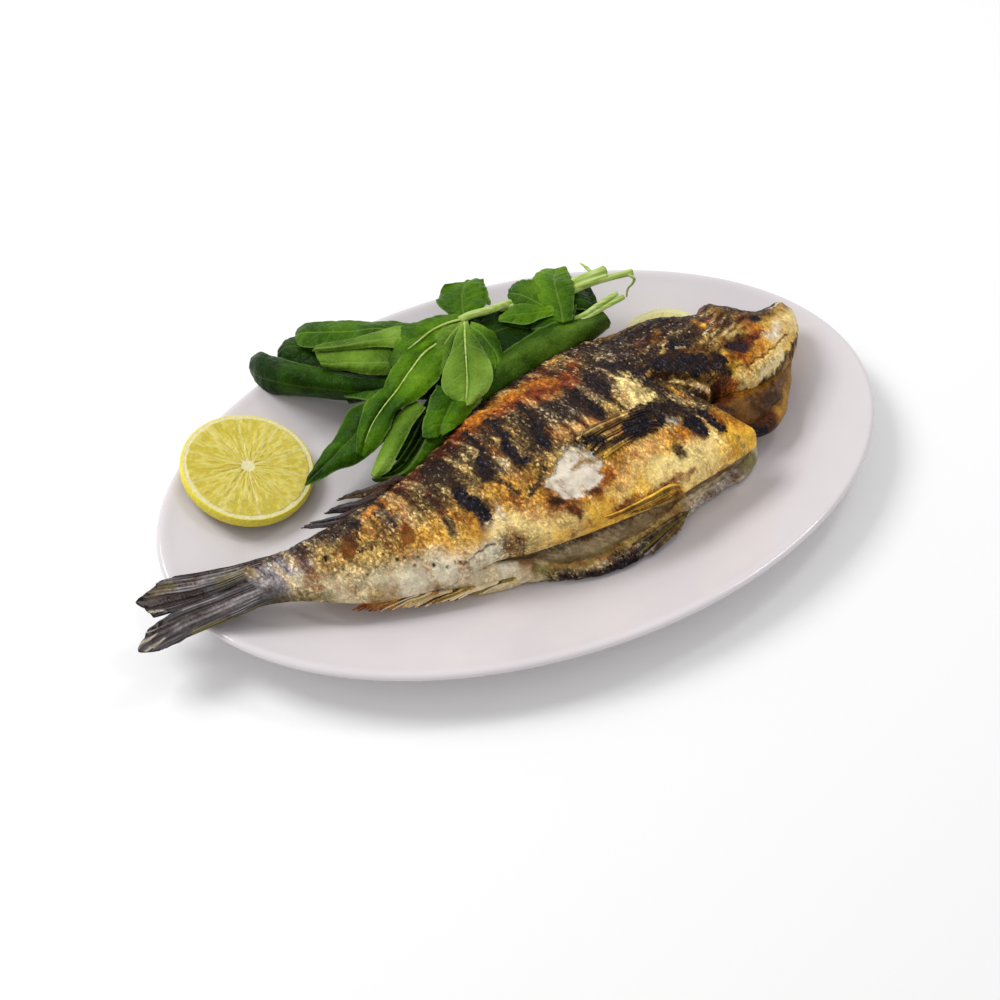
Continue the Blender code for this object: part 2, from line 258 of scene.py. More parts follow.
def newMaterial(name, **values):
    # a material with one Principled shader, whose constant sockets are set here
    material = bpy.data.materials.new(name)
    material.use_nodes = True
    tree = material.node_tree
    shader = tree.nodes["Principled BSDF"]
    for socket, value in values.items():
        shader.inputs[socket.replace("_", " ")].default_value = value
    return material, tree, shader


# plate

plate = {
    "length": 340.0, "width": 221.0,
    # profiles: inset from the rim, height
    "upper": [(0, 20.3), (0.9, 21.3), (2.4, 21.5), (4.2, 21.0), (7, 19.8), (18, 15.7), (30, 11.3),
              (37, 8.7), (44, 7.3), (52, 7.0), (90, 7.0)],
    "lower": [(0.3, 19.4), (1.6, 18.4), (7, 16.0), (30, 7.2), (46.5, 2.4), (48, 0.0), (54, 0.0),
              (55, 2.2), (58, 2.6), (90, 2.6)],
    "crest": 2.4,  # inset of the rim's highest line
    "middle": [0.04, 0.35, 0.7],  # size of the rings inside the last inset, as shares of it
    "around": 400, "down": 110,
}
plateUpper = curveThrough(plate["upper"])


def rimInset(x, y, halvings=30):
    # inset of the ellipse through a point, found by halving the range it can lie in
    along, across = plate["length"] / 2, plate["width"] / 2
    low, high = np.full(np.shape(x), -across), np.full(np.shape(x), across - 1.0)
    for _ in range(halvings):
        inset = (low + high) / 2
        within = (x / (along - inset)) ** 2 + (y / (across - inset)) ** 2 < 1
        low, high = np.where(within, inset, low), np.where(within, high, inset)
    return low


def layOnPlate(points, clearance=0.35):
    # whatever would sink into the glazed face is lifted onto it
    face = plateUpper(np.maximum(rimInset(points[..., 0], points[..., 1]), plate["crest"]))
    lifted = points.copy()
    lifted[..., 2] = np.maximum(points[..., 2], face + clearance)
    return lifted


def platePlace(points):
    # a place given from the plate's middle, in the dish's own frame
    return np.asarray(points, float) + plateMiddle


def makePlate(material):
    # rings down the profile, from the well's middle over the lip to the foot's recess:
    # ((length / 2 - inset) cos t, (width / 2 - inset) sin t) * scale
    middle = np.array(plate["middle"])
    upper, lower = (pathThrough(plate[side], plate["down"]) for side in ("upper", "lower"))
    lower[:, 1] = np.maximum(lower[:, 1], 0)
    first, last = ([plate[side][-1]] * len(middle) for side in ("upper", "lower"))
    inset, height = np.vstack([first, upper[::-1], lower, last]).T
    scale = np.r_[middle, np.ones(2 * plate["down"]), middle[::-1]]
    t = np.linspace(0, 2 * math.pi, plate["around"], endpoint=False)
    x = np.outer((plate["length"] / 2 - inset) * scale, np.cos(t))
    y = np.outer((plate["width"] / 2 - inset) * scale, np.sin(t))
    grid = platePlace(np.stack([x, y, height[:, None] + 0 * x], -1))
    addTubes("glazed_plate", [(grid, {})], material, ["plate"])


def porcelainMaterial():
    # white porcelain under a clear glaze: an even, slightly warm grey white with sharp soft-edged
    # reflections and a faint unevenness a few millimetres across
    material, tree, shader = newMaterial("glazed porcelain", Roughness=0.09, IOR=1.5)
    place = addNode(tree, "TexCoord").outputs["Object"]
    cloud = addNode(tree, "TexNoise", {"Vector": place, "Scale": 18.0, "Detail": 3.0})
    tone = addNode(tree, "ValToRGB", {"Fac": cloud}, [(0.3, "#d9d2d6"), (0.7, "#ded8da")])
    peel = addNode(tree, "TexNoise", {"Vector": place, "Scale": 320.0, "Detail": 2.0})
    bump = addNode(tree, "Bump", {"Height": peel, "Strength": 0.12, "Distance": 0.0002})
    setSockets(tree, shader, {"Base Color": tone, "Normal": bump})
    return material


makePlate(porcelainMaterial())
print("plate made")


# lemon slices

lemon = {
    "thickness": 5.5, "rind": 1.2, "pith": 1.4, "core": 2.8, "wall": 0.16, "rounding": 1.0,
    "sacLength": 3.6, "relief": 0.6, "warp": 0.5, "poreDepth": 0.22,
    "rows": 118, "rimRows": 13, "backRows": 46, "around": 420,
}
# tilt and its direction in degrees, how washed out, shift from the model's place, wall angles
slices = {
    "lemon_slice_front": {
        "radius": 30.0, "tilt": 14, "towards": 143, "seed": 5, "pale": 0.0,
        "shift": (0, 0, 0),
        "walls": [6, 41, 82, 117, 150, 187, 226, 262, 296, 333]},
    "lemon_slice_back": {
        "radius": 22.6, "tilt": 13, "towards": 62, "seed": 9, "pale": 0.45,
        "shift": (-3.0, -2.6, 0),
        "walls": [14, 52, 91, 128, 163, 204, 240, 280, 318, 347]},
}


def makeSlice(name, material):
    # a disc in polar rows: out over the cut face, round the rind and back under; wedges of pulp
    # lie between the membranes, with juice sacs as long lumps pointing at the core
    own, half, sac = slices[name], lemon["thickness"] / 2, lemon["sacLength"]
    radius, flat = own["radius"], own["radius"] - lemon["rounding"]
    bend = np.linspace(0, math.pi, lemon["rimRows"] + 2)[1:-1]
    r = np.r_[np.linspace(0.02, 1, lemon["rows"]) ** 0.9 * flat,
              flat + lemon["rounding"] * np.sin(bend),
              np.linspace(1, 0.03, lemon["backRows"]) * flat]
    z = np.r_[np.full(lemon["rows"], half), half * np.cos(bend), np.full(lemon["backRows"], -half)]
    t = np.linspace(0, 2 * math.pi, lemon["around"], endpoint=False)
    r, z, t = np.broadcast_arrays(r[:, None], z[:, None], t[None, :])
    wobble = lumps(np.stack([r * np.cos(t), r * np.sin(t)], -1), 9, own["seed"], 3) * 1.3
    # distance to the nearest wall, and the number of the wedge
    walls = np.radians(own["walls"])
    gap, number = np.full(r.shape, 99.0), np.zeros(r.shape)
    for k, wall in enumerate(walls):
        off = (t - wall + math.pi) % (2 * math.pi) - math.pi
        near = np.where(np.abs(off) < math.pi / 2, np.abs(r * np.sin(off) + wobble * 0.5), 99)
        gap = np.minimum(gap, near)
        following = (walls[(k + 1) % len(walls)] - wall) % (2 * math.pi)
        number = np.where((t - wall) % (2 * math.pi) < following, k, number)
    # pulp fills each wedge but for its rounded corners; the membranes hardly show
    reach = radius - lemon["rind"] - lemon["pith"] - r + wobble * 0.25
    gap = gap - lemon["wall"]
    inside = np.minimum(np.minimum(gap, reach), (r - lemon["core"] - wobble * 0.4) * 0.8)
    inside = inside - 0.7 * np.exp(-(gap ** 2 + reach ** 2) / 2.5)
    pulp = ramp(inside, -0.15, 0.45)
    pulp = np.maximum(pulp, 0.72 * ramp(reach, 0.2, 0.9) * ramp(r, 3.6, 4.6))
    rind = ramp(r, radius - lemon["rind"] - 0.25, radius - lemon["rind"] + 0.25)
    turn = t * 13 + number * 3.7
    sacs = lumps(np.stack([turn, r / sac + number * 2.3], -1), 1.0, own["seed"] + 1, 2, 0.6)
    lift = np.sign(z) * (pulp * (0.2 + lemon["relief"] * sacs) - 0.1 * (1 - pulp))
    lift = lift * (np.abs(z) > half - 0.01)
    z = z + lift + lemon["warp"] * (r / radius) ** 2 * np.cos(2 * t + 0.6)
    pores = lumps(np.stack([r * np.cos(t), r * np.sin(t), z], -1), 0.9, own["seed"] + 2, 2)
    out = r + rind * lemon["poreDepth"] * pores
    grid = np.stack([out * np.cos(t), out * np.sin(t), z], -1)
    # leant over towards one side, in the middle of its box
    tilt, towards = math.radians(own["tilt"]), math.radians(own["towards"])
    spin = np.array([[math.cos(towards), -math.sin(towards), 0],
                     [math.sin(towards), math.cos(towards), 0], [0, 0, 1]])
    lean = np.array([[math.cos(tilt), 0, -math.sin(tilt)], [0, 1, 0],
                     [math.sin(tilt), 0, math.cos(tilt)]])
    low, high = (np.array(corner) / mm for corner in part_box(name))
    grid = grid @ (spin @ lean @ spin.T).T + (low + high) / 2 + np.array(own["shift"])
    layers = {"pulp": pulp, "rind": rind, "sacs": np.stack([turn, r / sac, number], -1),
              "fill": sacs, "pale": np.full(r.shape, own["pale"])}
    addTubes(name + "_cut", [(grid, layers)], material, [name])


def lemonMaterial():
    # fresh cut lemon: wet, slightly see-through pulp in long sacs with painted bright glints, matt
    # white pith and membranes, and a waxy pored rind
    material, tree, shader = newMaterial("cut lemon", IOR=1.38, Subsurface_Weight=0.12,
                                         Subsurface_Scale=0.003)
    pulp = addNode(tree, "Attribute", attribute_name="pulp").outputs["Fac"]
    rind = addNode(tree, "Attribute", attribute_name="rind").outputs["Fac"]
    sacs = addNode(tree, "Attribute", attribute_name="sacs").outputs["Vector"]
    fill = addNode(tree, "Attribute", attribute_name="fill").outputs["Fac"]
    place = addNode(tree, "TexCoord").outputs["Object"]
    grain = addNode(tree, "TexNoise", {"Vector": sacs, "Scale": 1.6, "Detail": 4.0})
    glint = addNode(tree, "TexNoise", {"Vector": place, "Scale": 900.0, "Detail": 2.0})
    mixed = addNode(tree, "Math", {0: grain, 1: fill}, operation="ADD")
    flesh = addNode(tree, "ValToRGB", {"Fac": mixed},
                    [(0.28, "#c8b63e"), (0.75, "#dbcd6a"), (0.5, "#d3c24c")])
    # painted glints: a pale yellow mixed into the pulp where the fine noise peaks
    shine = addNode(tree, "ValToRGB", {"Fac": glint}, [(0.62, 0.0), (0.74, 0.55)])
    glintedPulp = addNode(tree, "Mix", {0: shine, 6: flesh, 7: hexToLinear("#efeb9e")}, data_type="RGBA")
    pithTone = addNode(tree, "ValToRGB", {"Fac": glint}, [(0.35, "#dcd296"), (0.7, "#ece5bc")])
    rindTone = addNode(tree, "ValToRGB", {"Fac": glint}, [(0.35, "#e4d238"), (0.7, "#f2e65c")])
    inner = addNode(tree, "Mix", {0: pulp, 6: pithTone, 7: glintedPulp}, data_type="RGBA")
    whole = addNode(tree, "Mix", {0: rind, 6: inner, 7: rindTone}, data_type="RGBA")
    pale = addNode(tree, "Attribute", attribute_name="pale").outputs["Fac"]
    whole = addNode(tree, "Mix", {0: pale, 6: whole, 7: hexToLinear("#e6e6b8")}, data_type="RGBA")
    rough = addNode(tree, "MapRange", {"Value": pulp, "To Min": 0.5, "To Max": 0.2})
    bump = addNode(tree, "Bump", {"Height": glint, "Strength": 0.35, "Distance": 0.0006})
    setSockets(tree, shader, {"Base Color": whole, "Roughness": rough, "Normal": bump})
    return material


lemonSkin = lemonMaterial()
for name in slices:
    makeSlice(name, lemonSkin)
print("lemon slices made")


# fish: its own frame, tones and painting

# u runs from tail to head, v from belly to back, z up; turned a little on the plate
fishTurn = math.radians(6)

# each tone: colour, char, flecks of scale, gloss
tones = {
    "olive": ("#856d3f", 0.0, 1.0, 0.5), "oliveDark": ("#4a3820", 0.1, 0.95, 0.5),
    "dusk": ("#5d5350", 0.1, 0.8, 0.5), "silver": ("#9d9596", 0.0, 0.4, 0.7),
    "tail": ("#4a4547", 0.05, 0.12, 0.5), "gold": ("#cf983a", 0.0, 0.45, 0.6),
    "goldPale": ("#d3ad62", 0.0, 0.5, 0.6), "yellow": ("#f0bd48", 0.0, 0.11, 0.6),
    "straw": ("#f8dc90", 0.0, 0.1, 0.6), "orange": ("#c4741c", 0.0, 0.35, 0.6),
    "rust": ("#8c3d12", 0.05, 0.4, 0.6), "redBrown": ("#5a2410", 0.15, 0.35, 0.6),
    "brown": ("#37200f", 0.25, 0.35, 0.5), "amber": ("#7d4715", 0.0, 0.03, 0.9),
    "duskDark": ("#4a3a33", 0.22, 0.95, 0.5), "char": ("#17141a", 0.86, 0.15, 0.3),
    "soot": ("#231d1f", 0.75, 0.5, 0.3), "cream": ("#dccaa0", 0.0, 0.12, 0.5),
    "milk": ("#e9dfc4", 0.0, 0.05, 0.6), "flesh": ("#e6dac6", 0.0, 0.0, 0.55),
    "fleshGrey": ("#c4b8a0", 0.0, 0.0, 0.5), "ochre": ("#a27c32", 0.0, 0.2, 0.6),
    "moss": ("#7d7434", 0.0, 0.1, 0.6), "honey": ("#946208", 0.0, 0.1, 0.9),
    "butter": ("#f6be3c", 0.0, 0.12, 0.6), "bone": ("#ead4ae", 0.0, 0.05, 0.5),
    "gum": ("#6b4612", 0.0, 0.05, 0.95), "eye": ("#3a2228", 0.2, 0.0, 0.9),
    "peach": ("#d99a4e", 0.0, 0.2, 0.6), "scorch": ("#43230e", 0.3, 0.7, 0.5),
    "pepper": ("#1c140e", 0.0, 0.0, 0.3),
}


def fishPlace(points):
    # a place in the fish's own frame, turned onto the plate
    u, v, z = points[..., 0], points[..., 1], points[..., 2]
    return np.stack([u * math.cos(fishTurn) - v * math.sin(fishTurn),
                     u * math.sin(fishTurn) + v * math.cos(fishTurn), z], -1)


def channels(colour, charred=0.0, flecked=0.0, glossy=0.5):
    # what a tone paints: linear red, green and blue, then char, flecks and gloss
    return np.array([*hexToLinear(colour)[:3], charred, flecked, glossy])


def tint(paint, share, tone):
    # mixes a tone over the paint by a share of 0 to 1
    paint += share[..., None] * (tone - paint)


def strokeDistance(places, width, line):
    # distance to a line of u, v, u, v and so on or, where the width is None, to its closed outline
    line = np.reshape(line, (-1, 2))
    if width is None:
        return patchDistance(places, line), 0
    return lineDistance(places, line), width


def paintWith(places, strokes, base, seed, waver=(1.3, 0.8)):
    # each stroke is tone, width, softness, strength and its line. They go on in order, each mixed
    # over what is there: full inside its width, fading over its softness. The edges waver with
    # the noise, all but a round spot's, and whatever is burnt scorches the skin round it
    flow = places.copy()
    for k in (0, 1):
        flow[..., k] += waver[0] * lumps(places, 4.5, seed + k, 3) * 2
        flow[..., k] += waver[1] * lumps(places, 1.4, seed + 5 + k, 2) * 2
    paint = np.broadcast_to(channels(*tones[base]), (*places.shape[:-1], 6)).copy()
    for tone, width, soft, strength, *line in strokes:
        distance, width = strokeDistance(flow if len(line) > 2 else places, width, line)
        if tone in ("char", "soot"):
            halo = 0.55 * strength * (1 - ramp(distance, width, width + 2.0))
            tint(paint, halo, channels(*tones["scorch"]))
        share = strength * (1 - ramp(distance, width - soft, width + soft))
        tint(paint, share, channels(*tones[tone]))
    return paint


def carveWith(places, cuts):
    # each cut is height, width, softness and its line: the heights in mm are added up
    lift = np.zeros(places.shape[:-1])
    for height, width, soft, *line in cuts:
        distance, width = strokeDistance(places, width, line)
        lift += height * (1 - ramp(distance, width - soft, width + soft))
    return lift


def addFishPart(name, parts, material, clearance=0.35, replaced=()):
    # painted bodies of the fish laid on the plate; colour is one layer, and char, flecks and gloss
    # are another
    tubes = []
    for grid, paint in parts:
        whole = np.ones_like(paint[..., :1])
        layers = {key: np.clip(np.concatenate([part, whole], -1), 0, 1)
                  for key, part in (("paint", paint[..., :3]), ("masks", paint[..., 3:]))}
        tubes.append((platePlace(layOnPlate(fishPlace(grid), clearance)), layers))
    addTubes(name, tubes, material, replaced)


def roundAngles(over, under):
    # angles round a section, with so many points on its upper and on its under side
    upper = np.linspace(0, math.pi, over, endpoint=False)
    lower = np.linspace(math.pi, 2 * math.pi, under, endpoint=False)
    return np.r_[upper, lower][None, :]


def sectionGrid(u, angle, edges, fullness=0.92, bulge=0.1):
    # egg-shaped sections: v = low + (top - low)(1 + cos a) / 2 and
    # z = height + thickness |sin a|^fullness, a little fuller towards the back
    top, low, thick, height = (edge(u) for edge in edges)
    across = (1 + np.cos(angle)) / 2
    full = np.abs(np.sin(angle)) ** fullness * (1 + bulge * np.cos(angle) * (1 - across))
    z = height + thick * full * np.sign(np.sin(angle))
    return np.stack([u + 0 * angle, low + (top - low) * across, z], -1)


def sectionThrough(t, knots):
    # v and z a share t of the way round a section, straight between its knots of share, v and z
    v = z = np.zeros(np.broadcast(t, knots[0][1]).shape)
    for (t0, v0, z0), (t1, v1, z1) in zip(knots, knots[1:]):
        k, here = np.clip((t - t0) / (t1 - t0), 0, 1), (t >= t0) & (t <= t1)
        v, z = np.where(here, v0 + (v1 - v0) * k, v), np.where(here, z0 + (z1 - z0) * k, z)
    return v, z


# fish: body

trunk = {
    "rows": 340, "over": 222, "under": 62, "tailEnd": -146, "hang": 9.5,
    "lumpHeight": 1.1, "roughness": 0.55, "scaleHeight": 0.32, "fleshHeight": 0.9,
    "foldDepth": 0.35,
    "back": [(-146, 3), (-128, -1), (-112, -2), (-95, 0), (-64, 5), (-40, 14), (-20, 23.5), (0, 30),
             (20, 35), (45, 37.5), (70, 33), (98, 24.5)],
    "belly": [(-146, -20), (-128, -25), (-112, -31.5), (-95, -38.5), (-80, -43), (-64, -46),
              (-40, -50.2), (-15, -56), (15, -60), (45, -60), (70, -57), (88, -53), (98, -46)],
    "thickness": [(-146, 3.6), (-128, 6), (-112, 7.8), (-95, 10), (-64, 14), (-40, 17.3), (-15, 20),
                  (15, 21), (45, 20.6), (70, 19), (88, 16), (98, 11)],
    "height": [(-146, 25.6), (-128, 27), (-100, 28), (-60, 28.5), (98, 28.5)],
    "front": [(0, 87), (0.03, 87.5), (0.1, 83), (0.25, 74), (0.32, 70.5), (0.4, 70), (1, 70)],
    "slitInner": [(-46, -44), (-20, -36), (20, -30), (70, -30), (104, -34)],
    "slitRoof": [(-46, 15.5), (-20, 20), (10, 23), (60, 23.5), (104, 22)],
}
bodyEdges = curvesOf(trunk, "back", "belly", "thickness", "height")
# where the skin is torn off, the flesh showing
tornSkin = [-15, -37.3, -12.5, -34.8, -8.3, -35.3, -4.2, -30.7, 0, -29.4, 1.7, -27.3, 5.8, -25.7,
            10, -29, 10.8, -33.2, 13.3, -39, 10.8, -42.3, 10.8, -46.5, 6.7, -48.2, 3.3, -48.2,
            -1.7, -49, -4.2, -49, -10, -46.5, -12.5, -41.5]
trunkPaint = [
    # broad tones first
    ("dusk", 9, 6, 0.8, -122, -6, -104, -8, -84, -4),
    ("goldPale", 8, 6, 0.9, -112, -19, -104, -21, -84, -27, -62, -32),
    ("gold", 10, 6, 0.9, -72, -26, -50, -33, -30, -36, -10, -40, 14, -44),
    ("cream", 6, 4, 1, -110, -31, -95, -36, -74, -41, -50, -45),
    ("tail", 13, 5, 1, -152, -12, -131, -12),
    ("dusk", 6, 5, 0.8, -128, -5, -116, -5),
    # silver skin at the tail's root, brightened as a painted highlight
    ("silver", 5.5, 4, 1, -134, -13, -121, -17),
    ("moss", 1.6, 1.6, 0.5, -146, -21.5, -128, -26, -114, -31),
    ("cream", 3.6, 3, 0.85, -124, -21, -110, -27),
    # more painted highlight on the silver skin at the tail's root
    ("silver", 2, 2, 0.8, -126, -12, -118, -16),
    ("milk", 4, 3, 0.8, -90, -40, -64, -44, -44, -47),
    # a painted highlight on the lower flank
    ("milk", 3, 2.5, 0.8, -42, -47, -38, -42),
    ("yellow", 11, 4, 1, -16, -55, 10, -54, 40, -52, 70, -48, 86, -47),
    ("gold", 6, 4, 0.8, 20, -41, 50, -42, 66, -42),
    ("olive", 12, 6, 0.7, -80, -14, -50, -14, -10, -8, 30, -4),
    # dark brown along the back's edge, partly painted shade under the salad's overhanging leaves
    ("brown", 6, 5, 0.8, -96, 0, -66, 5, -40, 12, -20, 21, 4, 29, 40, 36, 66, 34),
    ("oliveDark", 9, 6, 0.7, -60, 0, -30, 3, 0, 4, 30, 8),
    # rust and orange under the back's edge
    ("redBrown", 6, 4, 0.9, -66, -4, -46, 2, -30, 8),
    ("rust", 6.5, 4, 0.95, -30, 8, -12, 11, 6, 10, 24, 7),
    ("orange", 3.6, 2.5, 1, -24, 9, -10, 13.5, 6, 16, 16, 13, 20, 9),
    ("gold", 1.8, 1.5, 0.8, -14, 14, -2, 16.5, 6, 15),
    ("rust", 4, 3, 0.9, 8, 5, 20, 3, 25, 7),
    ("peach", 2, 2, 0.6, 12, 3, 20, 0),
    ("redBrown", 3, 2, 0.8, -30, 5, -28, -5),
    ("redBrown", 4.5, 3, 0.9, 14, 22, 22, 20),
    ("rust", 3.2, 2.5, 0.9, 31, 14, 37, 22),
    ("gold", 2.4, 2, 0.7, 27, 26, 36, 25, 40, 23),
    ("gold", 5, 4, 0.8, -88, -16, -78, -12, -70, -12),
    ("orange", 2.2, 2, 0.8, -84, -8, -76, -6),
    ("rust", 1.6, 1.4, 0.7, -88, -15, -86, -19),
    ("rust", 1.8, 1.6, 0.7, -71, -6, -70, -14),
    ("gold", 6, 4, 0.8, -60, -30, -48, -36, -34, -40),
    ("peach", 3, 3, 0.6, -62, -38, -52, -41, -40, -38),
    ("yellow", 4, 3, 0.8, -58, -36, -46, -40, -36, -42),
    ("ochre", 1.6, 1.5, 0.7, -98, -37, -88, -40),
    ("rust", 3, 2.5, 0.75, 2, -17, 12, -20, 22, -18),
    ("peach", 3.5, 3, 0.7, 4, -20, 20, -22),
    # light and golden places between the grill marks
    ("goldPale", 3, 2.5, 0.9, -41, -14, -43, -28, -38, -34),
    ("gold", 3.4, 2.5, 0.9, -52, -30, -56, -36),
    ("cream", 2.6, 2, 0.6, -25, -22, -24, -18),
    ("goldPale", 3, 2.5, 0.7, -22, -8, -23, -16),
    ("goldPale", 3, 2.5, 0.6, -11, -4, -12, -16),
    ("goldPale", 4, 3, 0.8, -6, -26, -4, -30),
    ("gold", 4, 3, 0.9, -36, -30, -24, -30, -20, -40),
    ("goldPale", 3.4, 2.5, 0.9, 30, -17, 36, -16, 31, -22),
    ("straw", 4.2, 3, 0.9, 46, -6, 45, -14, 42, -20, 49, -20),
    ("straw", 2, 1.6, 0.9, 54, -9, 57, -17, 61, -25),
    ("gold", 2, 1.6, 0.9, 58, -14, 66, -22),
    ("dusk", 6, 4, 0.8, 20, -6, 34, -4, 40, 4, 52, 12, 60, 20),
    ("dusk", 5, 4, 0.6, 6, -6, 14, -12),
    # belly lobe
    ("straw", 6, 4, 0.9, 34, -54, 52, -56, 64, -52),
    ("straw", 4, 3, 0.7, 14, -54, 24, -46, 38, -42),
    ("orange", 5, 3.5, 0.5, 12, -46, 20, -44, 16, -50),
    ("straw", 4, 3, 0.7, -34, -44, -22, -49, -8, -54),
    ("orange", 4, 3, 0.5, -24, -46, -14, -48, -8, -49),
    ("rust", 2.4, 2, 0.5, -18, -46, -12, -48),
    ("butter", 5, 4, 0.8, 68, -50, 84, -48),
    ("orange", 3, 3, 0.75, 70, -39, 77, -42, 82, -46),
    ("orange", 3.4, 2.6, 0.8, 53, -40, 60, -46),
    ("milk", 1.6, 1.4, 0.9, 51, -33, 54, -35.5),
    ("straw", 4, 3, 0.8, 44, -52, 56, -50, 66, -48),
    ("straw", 2, 2, 0.7, 30, -46, 38, -50, 50, -53),
    ("redBrown", 2.2, 1.6, 0.9, 54, -8, 58, -17, 65, -27),
    ("bone", 0.6, 0.5, 0.85, 57.7, -13, 60.5, -20, 63.5, -25.3),
    ("peach", 3.5, 3, 0.7, 30, -43, 44, -40),
    ("rust", 1.2, 1, 0.7, 10, -57.5, 30, -58.5, 50, -57),
    # the slit's dark start and the crack behind it
    ("brown", 0.4, 0.5, 0.85, -60, -43.6, -52.6, -45.2, -46, -46.4, -38.5, -49, -30, -53),
    ("ochre", 0.2, 0.4, 0.7, -75.5, -41.5, -74.3, -43.5, -72, -45, -68, -45.5, -65, -45),
    # painted highlights: a near-white streak and the glints beside it
    ("milk", 1.4, 1.0, 0.9, -37, -37, -36.5, -42, -35, -46),
    ("milk", 2.6, 2.0, 0.6, -44, -40, -38, -42),
    ("straw", 4.2, 3, 0.85, -39, -44, -31, -47, -24, -50),
    # skin torn off, the flesh showing
    ("rust", 3, 2.5, 0.7, -14, -38, -13, -46, -2, -50, 8, -49, 14, -45),
    ("flesh", None, 0.7, 1, *tornSkin),
    ("fleshGrey", 2.4, 1.8, 0.8, 3, -28, 8, -31),
    ("ochre", 1.0, 0.9, 0.8, 0, -37, 4, -35.6, 7, -36, 10.5, -38.5),
    ("fleshGrey", 1.2, 1.2, 0.5, -10, -39, -4, -41, 0, -38),
    ("brown", 1.5, 0.9, 0.95, -15.5, -44.5, -11.5, -46.2),
    ("redBrown", 1.6, 0.9, 0.95, -9.5, -50.5, -6.5, -53),
    ("redBrown", 1.3, 0.9, 0.9, 0.5, -48.8, 5, -49),
    ("rust", 1.6, 1.3, 0.35, 10, -48, 15, -45),
    ("brown", 2.4, 1.4, 0.95, 46, -48, 48.5, -48.5),
    # brown see-through patches and small reddish marks
    ("scorch", None, 1.5, 0.6, -96, -12, -92, -15, -96, -22, -101, -24, -103.5, -18),
    ("amber", None, 0.5, 0.95, -97, -13, -93.5, -15, -96.5, -20.5, -100, -23, -102.5, -19),
    ("amber", None, 0.6, 0.9, -71, -21, -69, -24, -73.5, -31, -79, -30, -77, -25),
    ("rust", 2.4, 1.8, 0.8, -70, -16, -74, -23),
    ("redBrown", 1.5, 1.1, 0.95, -58.5, -14, -57.5, -24, -57.5, -34),
    ("brown", 1.9, 1, 0.9, -57.5, -28, -57.5, -33.5),
    ("brown", 1.6, 1.1, 0.9, -31, -27, -28, -32, -26, -36),
    ("oliveDark", 1.4, 1, 0.9, -22, -38, -16, -35, -11, -31),
    ("redBrown", 0.7, 0.5, 0.9, -35.5, -49.6, -33, -50.4),
    ("soot", 2.2, 1.4, 0.9, -94, -6, -91, -11.5),
    ("dusk", 2.6, 1.8, 0.9, -80, -11, -77, -18),
    ("soot", 1.2, 0.8, 0.8, -109, -18),
    ("brown", 1.2, 1, 0.7, -94, -22, -88, -23),
    # specks of pepper
    *[("pepper", size, 0.35, 1, u, v) for size, u, v in [(0.5, -90.6, -24), (0.6, -87.2, -27.8),
     (0.8, -82.9, -32.2), (0.5, -80, -32.9), (0.5, -77.5, -37.1), (0.5, -74.9, -35.3),
     (0.8, -70, -40.1), (0.5, -65.1, -42.6), (0.5, -61.3, -43), (0.5, -104.5, -24.9),
     (0.5, -96.4, -31), (0.4, -85, -30.5)]],
    # grill marks
    ("brown", 3, 2, 0.85, -46, -2, -46, -12, -47, -20),
    ("char", 2.6, 1.2, 1, -48, -21, -46.5, -28, -43, -37),
    ("soot", 2.2, 1.4, 0.9, -52, 0, -50, -8),
    ("char", 1.1, 0.8, 0.95, -28.5, 8, -28.5, -3, -29.5, -11),
    ("char", 3.1, 1.3, 1, -31, -14, -33.5, -19, -33.5, -22),
    ("char", 1.2, 0.8, 0.95, -16, 6, -16.5, -4, -17.5, -12),
    ("char", 2.3, 1.2, 1, -18.5, -12, -19, -19, -17, -24),
    ("char", 1.1, 0.8, 0.95, -1, 8, -1.5, -3, -2.5, -10),
    ("char", 2.7, 1.3, 1, -3.5, -12, -5, -17, -4, -21),
    ("soot", 1.8, 1.3, 0.8, 10, -2, 11, -11),
    ("char", 2.5, 1.3, 1, 22.5, -1, 23.5, -9, 25.5, -18),
    ("char", 2.6, 1.6, 0.9, 34, 3, 35, -8),
    ("char", 2.6, 1.6, 0.85, 44, 8, 50, 2),
    ("soot", 3.4, 2.4, 0.85, 54, 4, 55, -10, 58, -20),
    ("duskDark", 7, 5, 0.95, 40, 26, 54, 20, 62, 8),
    ("soot", 3, 2.4, 0.8, 4, 24, 14, 28, 30, 31),
    ("soot", 3.4, 2, 0.9, 42, -26, 50, -27, 58, -29),
    ("char", 4.2, 2.0, 0.9, 36, -31, 44, -30, 47, -30),
    ("soot", 2.0, 1.4, 0.9, 14, -29.5, 17, -31),
    ("char", 3.2, 1.5, 1, 60, -38, 62.5, -43),
    ("soot", 2.4, 1.6, 0.9, 62, -33, 68, -36),
    ("char", 1.5, 1, 0.95, 67, -36, 69.5, -41, 71.5, -46),
]
